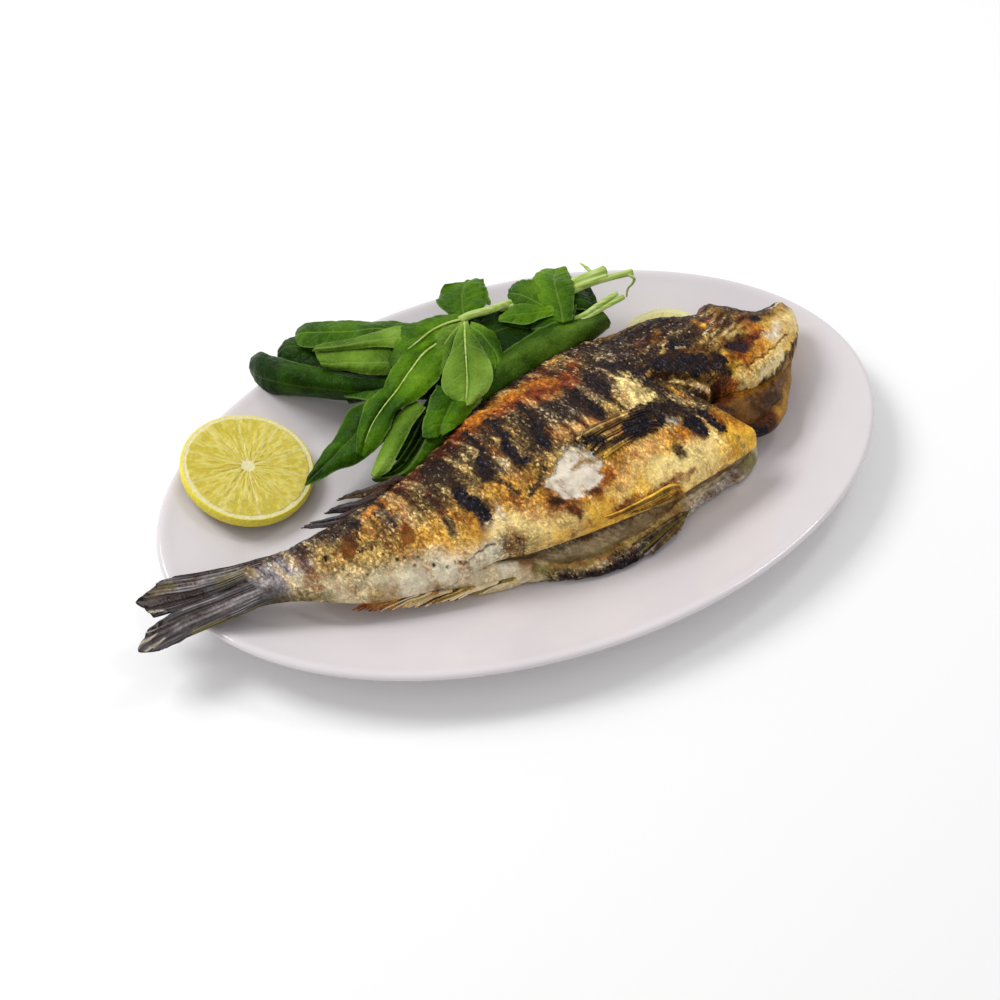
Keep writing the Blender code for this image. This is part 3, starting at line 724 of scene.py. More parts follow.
trunkCuts = [
    (-1.1, None, 0.5, *tornSkin),
    (0.5, 1.2, 1.0, -15, -36, -13, -46, -2, -50),
    (-0.7, 0.5, 0.6, 0, -37, 4, -35.8, 7, -36, 10.5, -38.5),
    (0.6, 2.2, 2.0, -6, -43, 4, -42),
    (-0.45, 1.6, 1.2, -48, -21, -46.5, -28, -43, -37),
    (-0.4, 1.6, 1.2, -31, -14, -33.5, -19, -33.5, -22),
    (-0.4, 1.4, 1.2, -18.5, -12, -19, -19, -17, -24),
    (-0.4, 1.5, 1.2, -3.5, -12, -5, -17, -4, -21),
    (-0.4, 1.5, 1.2, 22.5, -1, 23.5, -9, 25.5, -18),
    (-0.5, 0.5, 0.5, -28.5, 8, -28.5, -3, -29.5, -11),
    (-0.5, 0.5, 0.5, -16, 6, -16.5, -4, -17.5, -12),
    (-0.5, 0.5, 0.5, -1, 8, -1.5, -3, -2.5, -10),
    (0.5, 1.6, 1.4, -24, 9, -10, 13.5, 6, 16, 16, 13),
    (-0.5, 0.8, 0.8, 54, 4, 53, -6, 56, -14, 60, -20, 66, -25),
    (0.6, 1.0, 0.8, 53, -8, 57, -17, 61, -25),
]
gillDip = [(-2.2, 6, 5, 64, -13, 66, -16, 70, -24)]  # where the gill cover lies on the body


def makeTrunk(material):
    # sections from the tail's root to the gills, the rear belly hanging towards the plate
    angle = roundAngles(trunk["over"], trunk["under"])
    across = (1 + np.cos(angle)) / 2
    share = np.linspace(0, 1, trunk["rows"])[:, None]
    start, front = trunk["tailEnd"], curveThrough(trunk["front"])
    u = start + share * (front(across) - start)
    grid = sectionGrid(u, angle + 0 * u, bodyEdges)
    droop = ramp(u, -140, -96) * (1 - ramp(u, -66, -40))
    grid[..., 2] -= trunk["hang"] * droop * (1 - across) ** 1.6
    # the gutted belly: under the upper lobe the section turns in along the slit's roof
    top, low, _, middle = (edge(u) for edge in bodyEdges)
    inner, roof = (curve(u) for curve in curvesOf(trunk, "slitInner", "slitRoof"))
    t = (angle - math.pi) / math.pi + 0 * u
    slit = sectionThrough(t, [
        (0, low, middle), (0.06, low + 1.5, roof + 3), (0.13, low + 5, roof + 0.6),
        (0.40, inner - 3, roof), (0.46, inner, roof - 3), (0.52, inner + 0.5, 14),
        (0.58, inner + 1, 9), (0.66, inner + 6, 5), (0.9, top - 3, 12), (1.0, top, middle)])
    opened = (ramp(u, -50, -24) * (t > 0))[..., None]
    grid[..., 1:] += opened * (np.stack(slit, -1) - grid[..., 1:])
    places = grid[..., :2].copy()
    v = places[..., 1]
    paint = paintWith(places, trunkPaint, "olive", 30)
    # faint slanting folds between the grill marks, with painted shade, darker and redder, in their
    # hollows and painted highlights on their crests
    folds = lumps(np.stack([(u + 0.25 * v) / 2.6, v / 11], -1), 1, 41, 3)
    upper = 1 - ramp(-v, 20 + 0.12 * u, 38 + 0.12 * u)
    band = np.exp(-((v - 12) / 7) ** 2) * ramp(u, -45, -25)
    band *= 1 - ramp(u, 24, 38)
    dark = ramp(folds, -0.02, 0.22) * upper * (0.85 - 0.5 * band)
    tint(paint, dark * (1 - 0.5 * paint[..., 3]), channels("#2a160b", 0.3, 0.5, 0.5))
    # painted highlights on the fold crests, amber within the orange band
    crest = ramp(-folds, 0.08, 0.3) * (0.35 + 0.2 * upper) * (1 - paint[..., 3])
    pale, amber = (channels(colour, 0.0, 0.6, 0.7) for colour in ("#e0c080", "#d27a1e"))
    tint(paint, crest, pale + band[..., None] * (amber - pale))
    # lumps of 14 and 3 mm, scales, the torn place's rough flesh, the marks
    flesh = 1 - ramp(strokeDistance(places, None, tornSkin)[0], -0.5, 0.5)
    rough = lumps(grid, 14, 50, 3) * trunk["lumpHeight"]
    rough += lumps(grid, 3.2, 51, 3) * trunk["roughness"]
    scales = lumps(np.stack([(u + v * 0.5) / 1.5, (v - u * 0.3) / 1.1], -1), 1, 52, 1)
    lift = rough + scales * trunk["scaleHeight"] * paint[..., 4] * (1 - flesh)
    lift += flesh * lumps(places, 4.5, 53, 2) * trunk["fleshHeight"] - trunk["foldDepth"] * dark
    lift += carveWith(places, trunkCuts)
    lift = lift * ramp(share * (trunk["rows"] - 1), 0, 12) * np.where(t > 0, 0.35, 1)
    grid = grid + outward(grid) * lift[..., None]
    grid[..., 2] += carveWith(places, gillDip) * (v < 6) * (t <= 0)
    addFishPart("fish_body", [(grid, paint)], material, replaced=["fish"])


def flankHeight(u, v):
    # height of the body's upper side over a place in the fish's frame
    top, low, thick, middle = (edge(u) for edge in bodyEdges)
    cosine = np.clip(2 * (v - low) / (top - low) - 1, -0.995, 0.995)
    return middle + thick * np.sqrt(1 - cosine**2) ** 0.92


# fish: head

head = {
    "rows": 300, "over": 196, "under": 58, "end": 150.5, "lumpHeight": 0.9, "foldDepth": 0.4,
    "eye": [(102.3, -10.5), (108, -12.3)],
    "crown": [(50, 28), (62, 33), (80, 30), (98, 24), (105, 23.6), (112, 26.4), (119, 23),
              (130, 14.6), (138, 12.6), (145, 12.6), (149, 11.2), (150.5, 8.6)],
    "jaw": [(50, -6), (54, -12), (58, -18), (63, -23), (70, -27), (80, -27), (94, -24.5),
            (104, -27.5), (114, -25.5), (125, -22), (136, -16.5), (143, -9.5), (148, -3),
            (150.5, 3)],
    "thickness": [(50, 16.5), (58, 20.4), (66, 20.8), (80, 20), (98, 18.6), (113, 16.5),
                  (130, 12.5), (145, 8), (150.5, 3.5)],
    "height": [(50, 29.5), (90, 29.8), (120, 30), (150.5, 29.5)],
    "fullness": [(50, 0.32), (62, 0.34), (76, 0.45), (92, 0.66), (104, 0.85), (150, 0.92)],
    "rear": [(0, 53), (0.16, 53.4), (0.3, 55), (0.4, 57), (0.5, 57.5), (0.6, 56), (0.7, 52),
             (1, 50)],
}
gillPlate = [61, 8, 60, 0, 61.5, -7, 66, -12, 71.6, -15.4, 78.8, -18.8, 85, -20.5, 91, -20.5,
             95, -14, 90, -6, 82, 2, 72, 7]
gillHollow = [55, -13, 60, -8, 66, -13, 72, -16.5, 79, -20, 86, -21.5, 87, -27, 74, -30, 62, -26]
headPaint = [
    # black and brown behind the eye, golden cheek, straw snout
    ("duskDark", 15, 6, 1, 44, 15, 60, 11, 76, 14, 92, 12),
    ("redBrown", 4, 4, 0.6, 56, 12, 66, 10),
    ("soot", 5, 5, 0.7, 52, 19, 66, 22, 84, 20, 96, 16),
    ("olive", 3, 3, 0.6, 66, 5, 80, 7, 88, 4),
    ("soot", 5, 4, 0.8, 62, -2, 76, 0, 90, 0),
    ("ochre", 7, 5, 0.8, 94, -6, 104, -6, 112, -6),
    ("butter", 8, 5, 0.9, 100, -17, 116, -14, 134, -8),
    ("cream", 3, 2.5, 0.7, 128, -8, 136, -4),
    ("straw", 6, 4, 0.8, 116, -17, 128, -12, 142, -4),
    ("butter", 3.4, 2.6, 0.8, 110, -16, 121, -14, 126, -8),
    ("straw", 4, 3, 0.9, 142, -6, 149, 0, 150, 5),
    ("ochre", 2.6, 2.6, 0.6, 130, 0, 140, 3),
    ("orange", 4, 3, 0.7, 104, -19, 111, -17, 117, -12),
    # crown and brow
    ("brown", 5, 3, 0.9, 108, 21, 120, 15, 134, 10, 147, 10),
    ("soot", 2.6, 2, 0.9, 108, 25, 114, 25, 120, 20, 132, 12.5, 146, 12),
    ("soot", 3, 3, 0.6, 114, 10, 122, 7, 132, 5),
    ("oliveDark", 3, 2, 0.9, 106, 20, 110, 22, 113, 18),
    ("ochre", 1.4, 1.2, 0.7, 108, 15, 112, 11),
    ("ochre", 2.4, 2, 0.9, 140, 3, 147, 7),
    # painted glints along the snout's top
    ("milk", 0.5, 0.5, 0.9, 138, 6, 147, 9.5),
    ("rust", 2.8, 2, 0.95, 102, 9, 105, 5),
    ("orange", 2.4, 1.6, 1, 95.5, 9.5, 98.5, 3),
    ("butter", 1.3, 1.1, 0.9, 95, 9, 98, 6),
    ("ochre", 2.2, 1.6, 0.9, 73, 10, 76.5, 13),
    ("straw", 1.5, 1.3, 0.9, 75.5, 5, 73.5, 4),
    ("goldPale", 1.2, 1.2, 0.8, 72, 0.5, 70.5, -0.5),
    ("brown", 3, 2, 0.8, 93, 12, 92, 4),
    # thin silvery folds fanning from the eye to the brow
    ("olive", 3.4, 2.4, 0.8, 96, 0, 104, 3, 111, 6),
    *[(tone, 0.3, 0.5, 0.8, 92 + 2.1 * k, -0.4 - 0.8 * k, 99 + 2.3 * k, 3.6 - 0.9 * k,
     105 + 2.4 * k, 8.5 - 1.1 * k) for k,
     tone in enumerate(["milk", "brown", "cream", "brown", "cream", "brown", "goldPale"])],
    ("straw", 1.6, 1.3, 0.7, 104, -5.6, 110, -5),
    ("goldPale", 2.4, 2, 0.6, 92, -5, 97, -9),
    # snout and round the eye
    ("rust", 2.4, 2, 0.85, 116, 2, 123, 3),
    ("char", 1.6, 1.2, 0.9, 122, 0.5, 125.5, 0),
    ("orange", 2.6, 2, 0.9, 115, -5, 120, -4.6),
    ("rust", 2.2, 1.8, 0.9, 111, -10, 116, -9, 121, -7.5),
    ("redBrown", 1.2, 1.2, 0.8, 112, -11, 118, -9),
    # painted highlights on the snout
    ("milk", 2.6, 2.4, 0.8, 124, -11, 129, -10),
    ("milk", 1.4, 1.4, 0.9, 128.5, -7.5, 131.5, -6),
    ("milk", 1.2, 1.2, 0.8, 125, -10.5, 128, -9.5),
    ("orange", 2.2, 1.8, 0.8, 98, -16, 101, -15, 106, -18),
    ("redBrown", 4.4, 2.4, 0.8, 102.3, -10.5, 110, -11),
    ("eye", 3.4, 1.3, 1, 102.3, -10.5, 108, -12.3),
    ("char", 1.6, 1.2, 0.6, 101, -9.3, 104, -10),
    # lip and cheek edge
    ("straw", 3, 1.6, 0.95, 94, -24, 104, -25.4, 114, -23.4, 124, -20),
    ("goldPale", 1.4, 1.4, 0.8, 98, -23, 108, -23.5, 118, -20),
    ("cream", 1.4, 1.4, 0.7, 108, -25.5, 118, -22.5, 126, -18.5),
    ("orange", 2.4, 1.6, 0.9, 86, -25, 94, -23.5),
    ("redBrown", 0.35, 0.4, 0.85, 97, -19.5, 105, -21, 115, -18.8, 124, -15.6, 133, -12),
    ("brown", 0.8, 0.6, 0.95, 92, -27, 104, -28, 114, -26, 124, -22.5, 134, -17, 143, -9),
    # the burnt gill cover, its edge, and the bones showing under it
    ("brown", None, 1.2, 1, *gillHollow),
    ("char", None, 1.0, 0.95, 61, -1, 64, -3.5, 66, -1.5, 72, -3, 75, -5.5, 78, -4, 83, -8, 86,
     -10.5, 86, -15, 83, -16, 83, -20, 79, -18.2, 76, -18.5, 72, -15.2, 66, -13, 61.5, -8),
    ("char", 3.1, 1.2, 0.95, 90.8, -13.2, 92.2, -15),
    ("soot", 2.4, 1.5, 0.85, 86, -17, 92, -20),
    ("rust", 0.5, 0.8, 0.8, 79, -3.5, 85, -7.5, 89, -9),
    ("peach", 0.25, 0.5, 0.8, 81, -6, 86, -9, 88, -9.6),
    ("cream", 0.5, 0.7, 0.7, 77, -1.5, 81, -3),
    ("goldPale", 1.5, 0.9, 0.95, 66, -15, 70, -18.8),
    ("straw", 0.6, 0.6, 0.8, 67, -16, 70, -18.5),
    ("goldPale", 1.6, 1.4, 0.95, 73.5, -19.5, 77, -22.5, 81, -25.5),
    ("bone", 0.8, 0.9, 0.8, 75.5, -22, 79.5, -25),
    ("brown", 0.6, 0.8, 0.8, 72, -20.5, 76, -25),
    ("bone", 0.6, 0.6, 0.9, 57.5, -15, 60.5, -20, 64, -24),
    ("goldPale", 0.6, 0.6, 0.8, 61, -15.5, 64.5, -20.5),
    ("bone", 0.9, 0.7, 0.95, 66.5, -27.5, 71, -25.2),
    ("redBrown", 2.2, 1.6, 0.9, 86, -22, 89.5, -24),
    ("rust", 1.4, 1.0, 0.8, 91, -22, 93, -23),
]
headCuts = [
    (1.0, None, 0.5, *gillPlate),
    (-2.0, None, 0.7, *gillHollow),
    (1.0, 1.2, 0.9, 66, -15.5, 70, -19),
    (0.9, 1.5, 1.3, 75, -21, 80.5, -25),
    (0.9, 0.6, 0.6, 57.5, -15, 60.5, -20, 64, -24),
    (1.1, 0.8, 0.8, 66, -27.3, 71, -25.5),
    (-1.3, 4.2, 2.2, 102.5, -10.8, 108, -12),
    (0.5, 2.4, 1.6, 103.3, -11, 107.3, -12),
    (0.9, 0.9, 0.9, 96.5, -9, 99.5, -5.5, 105, -4.8, 111, -6.5, 114, -9.5),
    (0.5, 0.8, 0.8, 97, -13, 101, -16.4, 107, -17.2, 112, -15.5),
    *[(-0.3, 0.2, 0.6, 94 + 4.2 * k, -1.2 - 1.6 * k, 101 + 4.6 * k, 2.7 - 1.8 * k, 107 + 4.8 * k,
     7.4 - 2.2 * k) for k in range(3)],
    (1.0, 3, 3, 111, 12, 112, 22),
    (-1.2, 2, 3, 122, 14, 134, 9),
    (1.0, 2, 2.5, 144, 10, 148, 9),
    (-0.8, 0.3, 0.5, 97, -19.5, 105, -21, 115, -18.8, 124, -15.6, 133, -12),
    (0.8, 1.3, 1.2, 94, -24, 104, -25.6, 114, -23.6, 124, -20),
    (-0.5, 0.5, 0.5, 79, -3.5, 85, -7.5, 89, -9),
    (-0.6, 1.0, 0.9, 127, -17, 134, -14),
    (0.6, 1.2, 1.2, 118, 4, 128, 3, 140, 2),
]


def makeHead(material):
    # sections from under the gill cover's edge to the snout, narrow folds running along them
    angle = roundAngles(head["over"], head["under"])
    rear, fullness = curvesOf(head, "rear", "fullness")
    rear = rear((1 + np.cos(angle)) / 2)
    share = np.linspace(0, 1, head["rows"])[:, None] ** 1.05
    u = rear + share * (head["end"] - rear)
    edges = curvesOf(head, "crown", "jaw", "thickness", "height")
    grid = sectionGrid(u, angle + 0 * u, edges, fullness(u), 0.06)
    places = grid[..., :2].copy()
    v = places[..., 1]
    paint = paintWith(places, headPaint, "ochre", 60, (1.0, 0.7))
    # warm stains over the cheek, and folds with painted shade in their hollows and painted
    # highlights on their crests, none of them on the eye
    clear = ramp(lineDistance(places, head["eye"]), 3, 5)
    front = ramp(u - v, 112, 126)
    blotch = ramp(lumps(places, 3.4, 71, 3), 0.05, 0.35) * ramp(u, 88, 100) * clear
    warm = (0.45 - 0.3 * front) * blotch * (1 - paint[..., 3])
    tint(paint, warm, channels("#b06a20", 0.0, 0.3, 0.6))
    folds = lumps(np.stack([u / 8, (v - 0.35 * u) / 2.2], -1), 1, 74, 3)
    dark = ramp(folds, 0.0, 0.25) * (0.7 - 0.65 * front) * clear
    tint(paint, dark * (1 - 0.6 * paint[..., 3]), channels("#3a200d", 0.2, 0.5, 0.5))
    # painted highlights on the fold crests
    crest = ramp(-folds, 0.1, 0.3) * 0.3 * clear * (1 - paint[..., 3])
    tint(paint, crest, channels("#f4cf70", 0.0, 0.2, 0.7))
    lift = lumps(grid, 9, 72, 3) * head["lumpHeight"]
    lift += lumps(grid, 2.2, 73, 3) * (0.45 + 0.5 * paint[..., 3])
    lift -= head["foldDepth"] * dark
    lift += carveWith(places, headCuts)
    lift *= ramp(head["end"] - u, 0, 5) * np.where(angle > math.pi, 0.4, 1)
    # above the gill cover it follows the body's own curve and dips under it at the rear
    follow = (1 - ramp(u, 60, 88)) * ramp(v, -14, -5) * (angle < math.pi)
    back = np.maximum(flankHeight(u, v), 20)
    grid[..., 2] += follow * (back + 0.4 - grid[..., 2])
    lift -= (3.0 - 1.5 * follow) * (1 - ramp(u - rear, 0, 1.4 + 5 * follow))
    addFishPart("fish_head", [(grid + outward(grid) * lift[..., None], paint)], material)


# fish: lower jaw, the roll inside the mouth, and the lower belly flap

jaw = {
    "rows": 170, "around": 150, "rear": 84, "front": 143, "fullness": 0.8, "ripple": 0.25,
    "inner": [(84, -14), (104, -18), (122, -13), (137, -5), (143, -1)],
    "outer": [(84, -30), (92, -40), (103, -44), (115, -39), (124, -30), (134, -18), (143, -5)],
    "thickness": [(84, 6), (104, 6.5), (122, 5.5), (143, 3)],
    "height": [(84, 19), (104, 20), (122, 21.5), (143, 25)],
}
jawPaint = [
    ("moss", 8, 5, 0.9, 98, -34, 112, -32, 126, -20),
    ("honey", 6, 4, 0.9, 104, -36, 116, -31, 128, -18, 138, -8),
    ("gold", 1.8, 1.5, 0.7, 110, -39, 118, -33, 127, -22),
    ("oliveDark", 1.6, 1.4, 0.6, 112, -36, 122, -28, 132, -16),
    ("brown", 3.4, 2.2, 0.95, 88, -34, 94, -41, 104, -42),
    ("redBrown", 2.6, 2, 0.8, 96, -37, 106, -39),
    ("char", 1.3, 0.8, 0.9, 92, -41, 100, -44),
    ("gum", 4, 2.5, 0.9, 90, -22, 106, -24, 120, -18),
]
jawCuts = [
    (-1.6, 3.4, 2.4, 92, -26, 106, -28, 120, -21, 130, -12),
    (0.9, 1.6, 1.4, 106, -36, 117, -31, 127, -20, 136, -9),
]
throat = {
    "rows": 110, "around": 64, "wide": 1.25, "lumpHeight": 1.6,
    "path": [(66, -30, 26), (78, -32, 28), (92, -31, 27.5), (106, -29, 26), (119, -23, 25),
             (131, -14, 25)],
    "radius": [(0, 5.5), (0.25, 7), (0.6, 6.5), (1, 3)],
}
throatPaint = [
    ("gum", 20, 1, 1, 66, -30, 131, -14),
    ("brown", 5, 4, 0.9, 66, -34, 82, -34),
    ("brown", 3, 2.4, 0.7, 100, -36, 112, -33),
    ("oliveDark", 3, 2.6, 0.6, 96, -29, 112, -27),
    ("honey", 3, 2, 0.8, 88, -29, 104, -28, 126, -18),
    ("redBrown", 2.4, 2, 0.7, 78, -28, 92, -28),
    ("bone", 0.5, 0.4, 0.6, 79, -29.5, 80, -30),
]


def makeJaw(material):
    # a flat egg-shaped bar, bent round the mouth
    angle = np.linspace(0, 2 * math.pi, jaw["around"], endpoint=False)[None, :]
    u = np.linspace(jaw["rear"], jaw["front"], jaw["rows"])[:, None] + 0 * angle
    edges = curvesOf(jaw, "inner", "outer", "thickness", "height")
    grid = sectionGrid(u, angle + 0 * u, edges, jaw["fullness"])
    places = grid[..., :2].copy()
    paint = paintWith(places, jawPaint, "honey", 80, (0.8, 0.4))
    paint[..., 4] *= 0.3
    lift = lumps(grid, 6, 82, 3) + lumps(grid, 1.8, 83, 2) * jaw["ripple"]
    lift += carveWith(places, jawCuts)
    lift *= np.where(angle > math.pi, 0.3, 1) * ramp(jaw["front"] - u, 0, 4)
    addFishPart("fish_lower_jaw", [(grid + outward(grid) * lift[..., None], paint)], material)


def makeThroat(material):
    # a soft lumpy roll along a bent path, shrinking to its front end
    radius = curveThrough(throat["radius"])(np.linspace(0, 1, throat["rows"]))
    path = pathThrough(throat["path"], throat["rows"])
    grid = ringsAlong(path, radius, throat["around"], throat["wide"])
    grid = grid + outward(grid) * (lumps(grid, 5, 85, 3) * throat["lumpHeight"])[..., None]
    paint = paintWith(grid[..., :2].copy(), throatPaint, "gum", 86, (0.9, 0.5))
    addFishPart("fish_throat", [(grid, paint)], material)


flap = {
    "rows": 310, "around": 130, "rear": -68, "front": 96, "rounds": 3,
    "lumpHeight": 1.3, "roughness": 0.45, "ribHeight": 0.12,
    "outer": [(-68, -44), (-60, -48.5), (-46, -53.5), (-34, -56.5), (-25, -59), (-12, -65.5),
              (10, -70.5), (28, -67), (50, -60), (70, -56), (88, -52.5), (96, -46)],
    "inner": [(-68, -36), (-42, -38), (-10, -34), (20, -29), (40, -28), (96, -34)],
    "ridge": [(-68, 3), (-56, 5), (-46, 5.4), (-34, 4.5), (-24, 5), (10, 8.5), (40, 7), (70, 5),
              (96, 3.5)],
    "top": [(-68, 15), (-58, 20.5), (-46, 22.5), (-34, 20), (-20, 15), (10, 14), (50, 14), (80, 15),
            (96, 15)],
}
flapPaint = [
    ("fleshGrey", 14, 4, 1, -40, -38, 0, -42, 40, -38, 90, -40),
    ("cream", 5, 4, 1, -68, -46, -50, -50, -40, -52),
    ("fleshGrey", 2.4, 2, 0.9, -54, -46.5, -46, -47, -36, -50),
    ("gold", 2.2, 1.2, 0.9, -51, -45.8, -47.5, -46),
    ("milk", 1.8, 1.2, 1, -43, -51.5, -36, -51),
    ("amber", 2.0, 1.6, 0.8, -34, -52.5, -30, -54),
    ("moss", 1.6, 1.2, 0.9, -29, -55.5, -24, -58),
    ("cream", 6, 4, 0.8, -20, -50, 6, -54, 30, -52, 60, -48),
    # painted shade under the upper lobe's edge
    ("oliveDark", 5, 4, 0.6, -14, -42, 20, -44, 62, -40),
    ("moss", 2.6, 2, 0.6, -20, -54, 0, -60, 14, -60),
    # painted highlight along the ridge's top
    ("bone", 1.2, 1.2, 0.9, 14, -60.5, 30, -59, 46, -55, 60, -53),
    ("ochre", 2.2, 1.6, 0.8, -22, -57, -8, -62, 4, -63.5, 14, -62),
    # painted highlight along the ridge's top
    ("goldPale", 1.6, 1.2, 0.8, 14, -61.5, 30, -60, 46, -55.5),
    ("milk", 2.2, 1.6, 0.7, 50, -54, 66, -51, 82, -49),
    ("oliveDark", 3, 1.6, 0.7, -24, -61, -8, -67.5, 10, -71, 28, -68),
    ("dusk", 3, 1.4, 0.95, 10, -69, 28, -66.5, 44, -62),
    # painted highlight along the ridge's top
    ("straw", 2, 1.6, 0.8, 14, -62, 30, -60.5, 46, -56),
    ("soot", 1.6, 1.2, 0.85, -20, -62.5, -12, -66.5, 0, -70, 12, -71.5),
    ("soot", 2, 2, 0.5, 5, -66, 12, -67.5),
    ("char", 1.3, 1.1, 0.8, 4, -69, 12, -70),
    ("silver", 2.2, 1.6, 0.7, 50, -59, 70, -55, 84, -52),
    ("moss", 2.6, 1.8, 0.85, 82, -52, 90, -49),
    ("olive", 1.6, 1.3, 0.7, 20, -64, 34, -62),
]


def makeFlap(material):
    # a strip of belly wall: hollow and pale inside, over a rounded ridge, then skin down to the
    # plate; each section is straight between its knots, then evened out with its neighbours
    u = np.linspace(flap["rear"], flap["front"], flap["rows"])[:, None]
    outer, inner, ridge, top = (c(u) for c in curvesOf(flap, "outer", "inner", "ridge", "top"))
    t = np.linspace(0, 1, flap["around"] + 1)[None, :-1]
    v, z = sectionThrough(t, [
        (0, inner, 8.0), (0.10, inner, 11.0), (0.3, (outer + inner) / 2 + 3, 10.2),
        (0.45, outer + ridge + 4, top - 2.6), (0.55, outer + ridge, top),
        (0.62, outer + ridge * 0.55, top - 0.5), (0.76, outer, 10.4), (0.84, outer + 1.5, 7.0),
        (1.0, inner, 8.0)])
    for _ in range(flap["rounds"]):
        v, z = ((np.roll(a, 1, 1) + 2 * a + np.roll(a, -1, 1)) / 4 for a in (v, z))
    grid = np.stack([u + 0 * t, v, z], -1)
    places = grid[..., :2].copy()
    paint = paintWith(places, flapPaint, "cream", 90, (1.0, 0.5))
    ribs = np.sin(grid[..., 0] * 2.3 + lumps(places, 4, 92, 2) * 5) * ramp(-v + outer, -5, -2)
    lift = lumps(grid, 6, 93, 3) * flap["lumpHeight"]
    lift += lumps(grid, 1.7, 94, 2) * flap["roughness"]
    lift += flap["ribHeight"] * ribs
    addFishPart("fish_belly_flap", [(grid + outward(grid) * lift[..., None], paint)], material, 0.3)


# fish: fins and their rays

fins = {
    "tail_upper": {
        "base": [(-124, -2.5, 29), (-127, -7.5, 30), (-130, -12.5, 30.4)],
        "tip": [(-170, 12, 25), (-180, 11, 25), (-187, 7.5, 24.5), (-188, 2.5, 24.5),
                (-184.5, -2.5, 24.5), (-177, -6, 25.4), (-171, -7.5, 26.4)],
        "bow": 4.2, "thick": 3.0, "rays": 14, "ragged": 0.09, "sink": 1.0, "seed": 101,
        "paint": [("tail", 40, 1, 1, -190, 4, -120, -8),
                  ("dusk", 4, 3, 0.8, -182, 6, -150, 2, -136, -3),
                  # silver along the rays' base, partly the fin's own and partly painted highlight
                  ("silver", 1.2, 1.2, 0.7, -158, 2, -146, 0),
                  ("silver", 2.2, 2.4, 0.8, -144, -2, -134, -7, -126, -11),
                  ("moss", 3, 3, 0.45, -150, -3, -142, -4),
                  ("moss", 2.4, 2, 0.45, -178, 7, -170, 6),
                  ("char", 1.5, 2, 0.5, -186, 1, -160, -4),
                  ("milk", 0.5, 0.5, 0.7, -186.5, 1, -177, -2.5),
                  ("silver", 0.8, 1.0, 0.7, -188, 4, -186, 8)]},
    "tail_lower": {
        "base": [(-127, -10, 30.2), (-131, -17, 29.4), (-134, -22.6, 28)],
        "tip": [(-171, -8.5, 26.4), (-182, -6.8, 25.4), (-190, -9.8, 24.5), (-196, -16, 24),
                (-193, -18.7, 24), (-181, -20, 24.5)],
        "bow": -0.6, "thick": 3.0, "rays": 11, "ragged": 0.09, "sink": 1.0, "seed": 102,
        "paint": [("tail", 40, 1, 1, -190, -14, -120, -16),
                  ("dusk", 3, 3, 0.6, -184, -12, -160, -14, -140, -16),
                  ("silver", 1.4, 1.6, 0.8, -176, -15, -156, -16, -130, -16),
                  ("silver", 2.4, 2, 0.7, -136, -15, -127, -16),
                  ("moss", 1.8, 1.4, 0.8, -170, -21.5, -153, -23, -140, -25, -128, -25.5),
                  ("milk", 0.4, 0.5, 0.7, -194, -15, -184, -12.5),
                  ("milk", 0.4, 0.5, 0.7, -191, -18, -182, -16.5),
                  ("goldPale", 0.6, 0.8, 0.7, -160, -22.8, -146, -24.6, -130, -25.5)]},
}


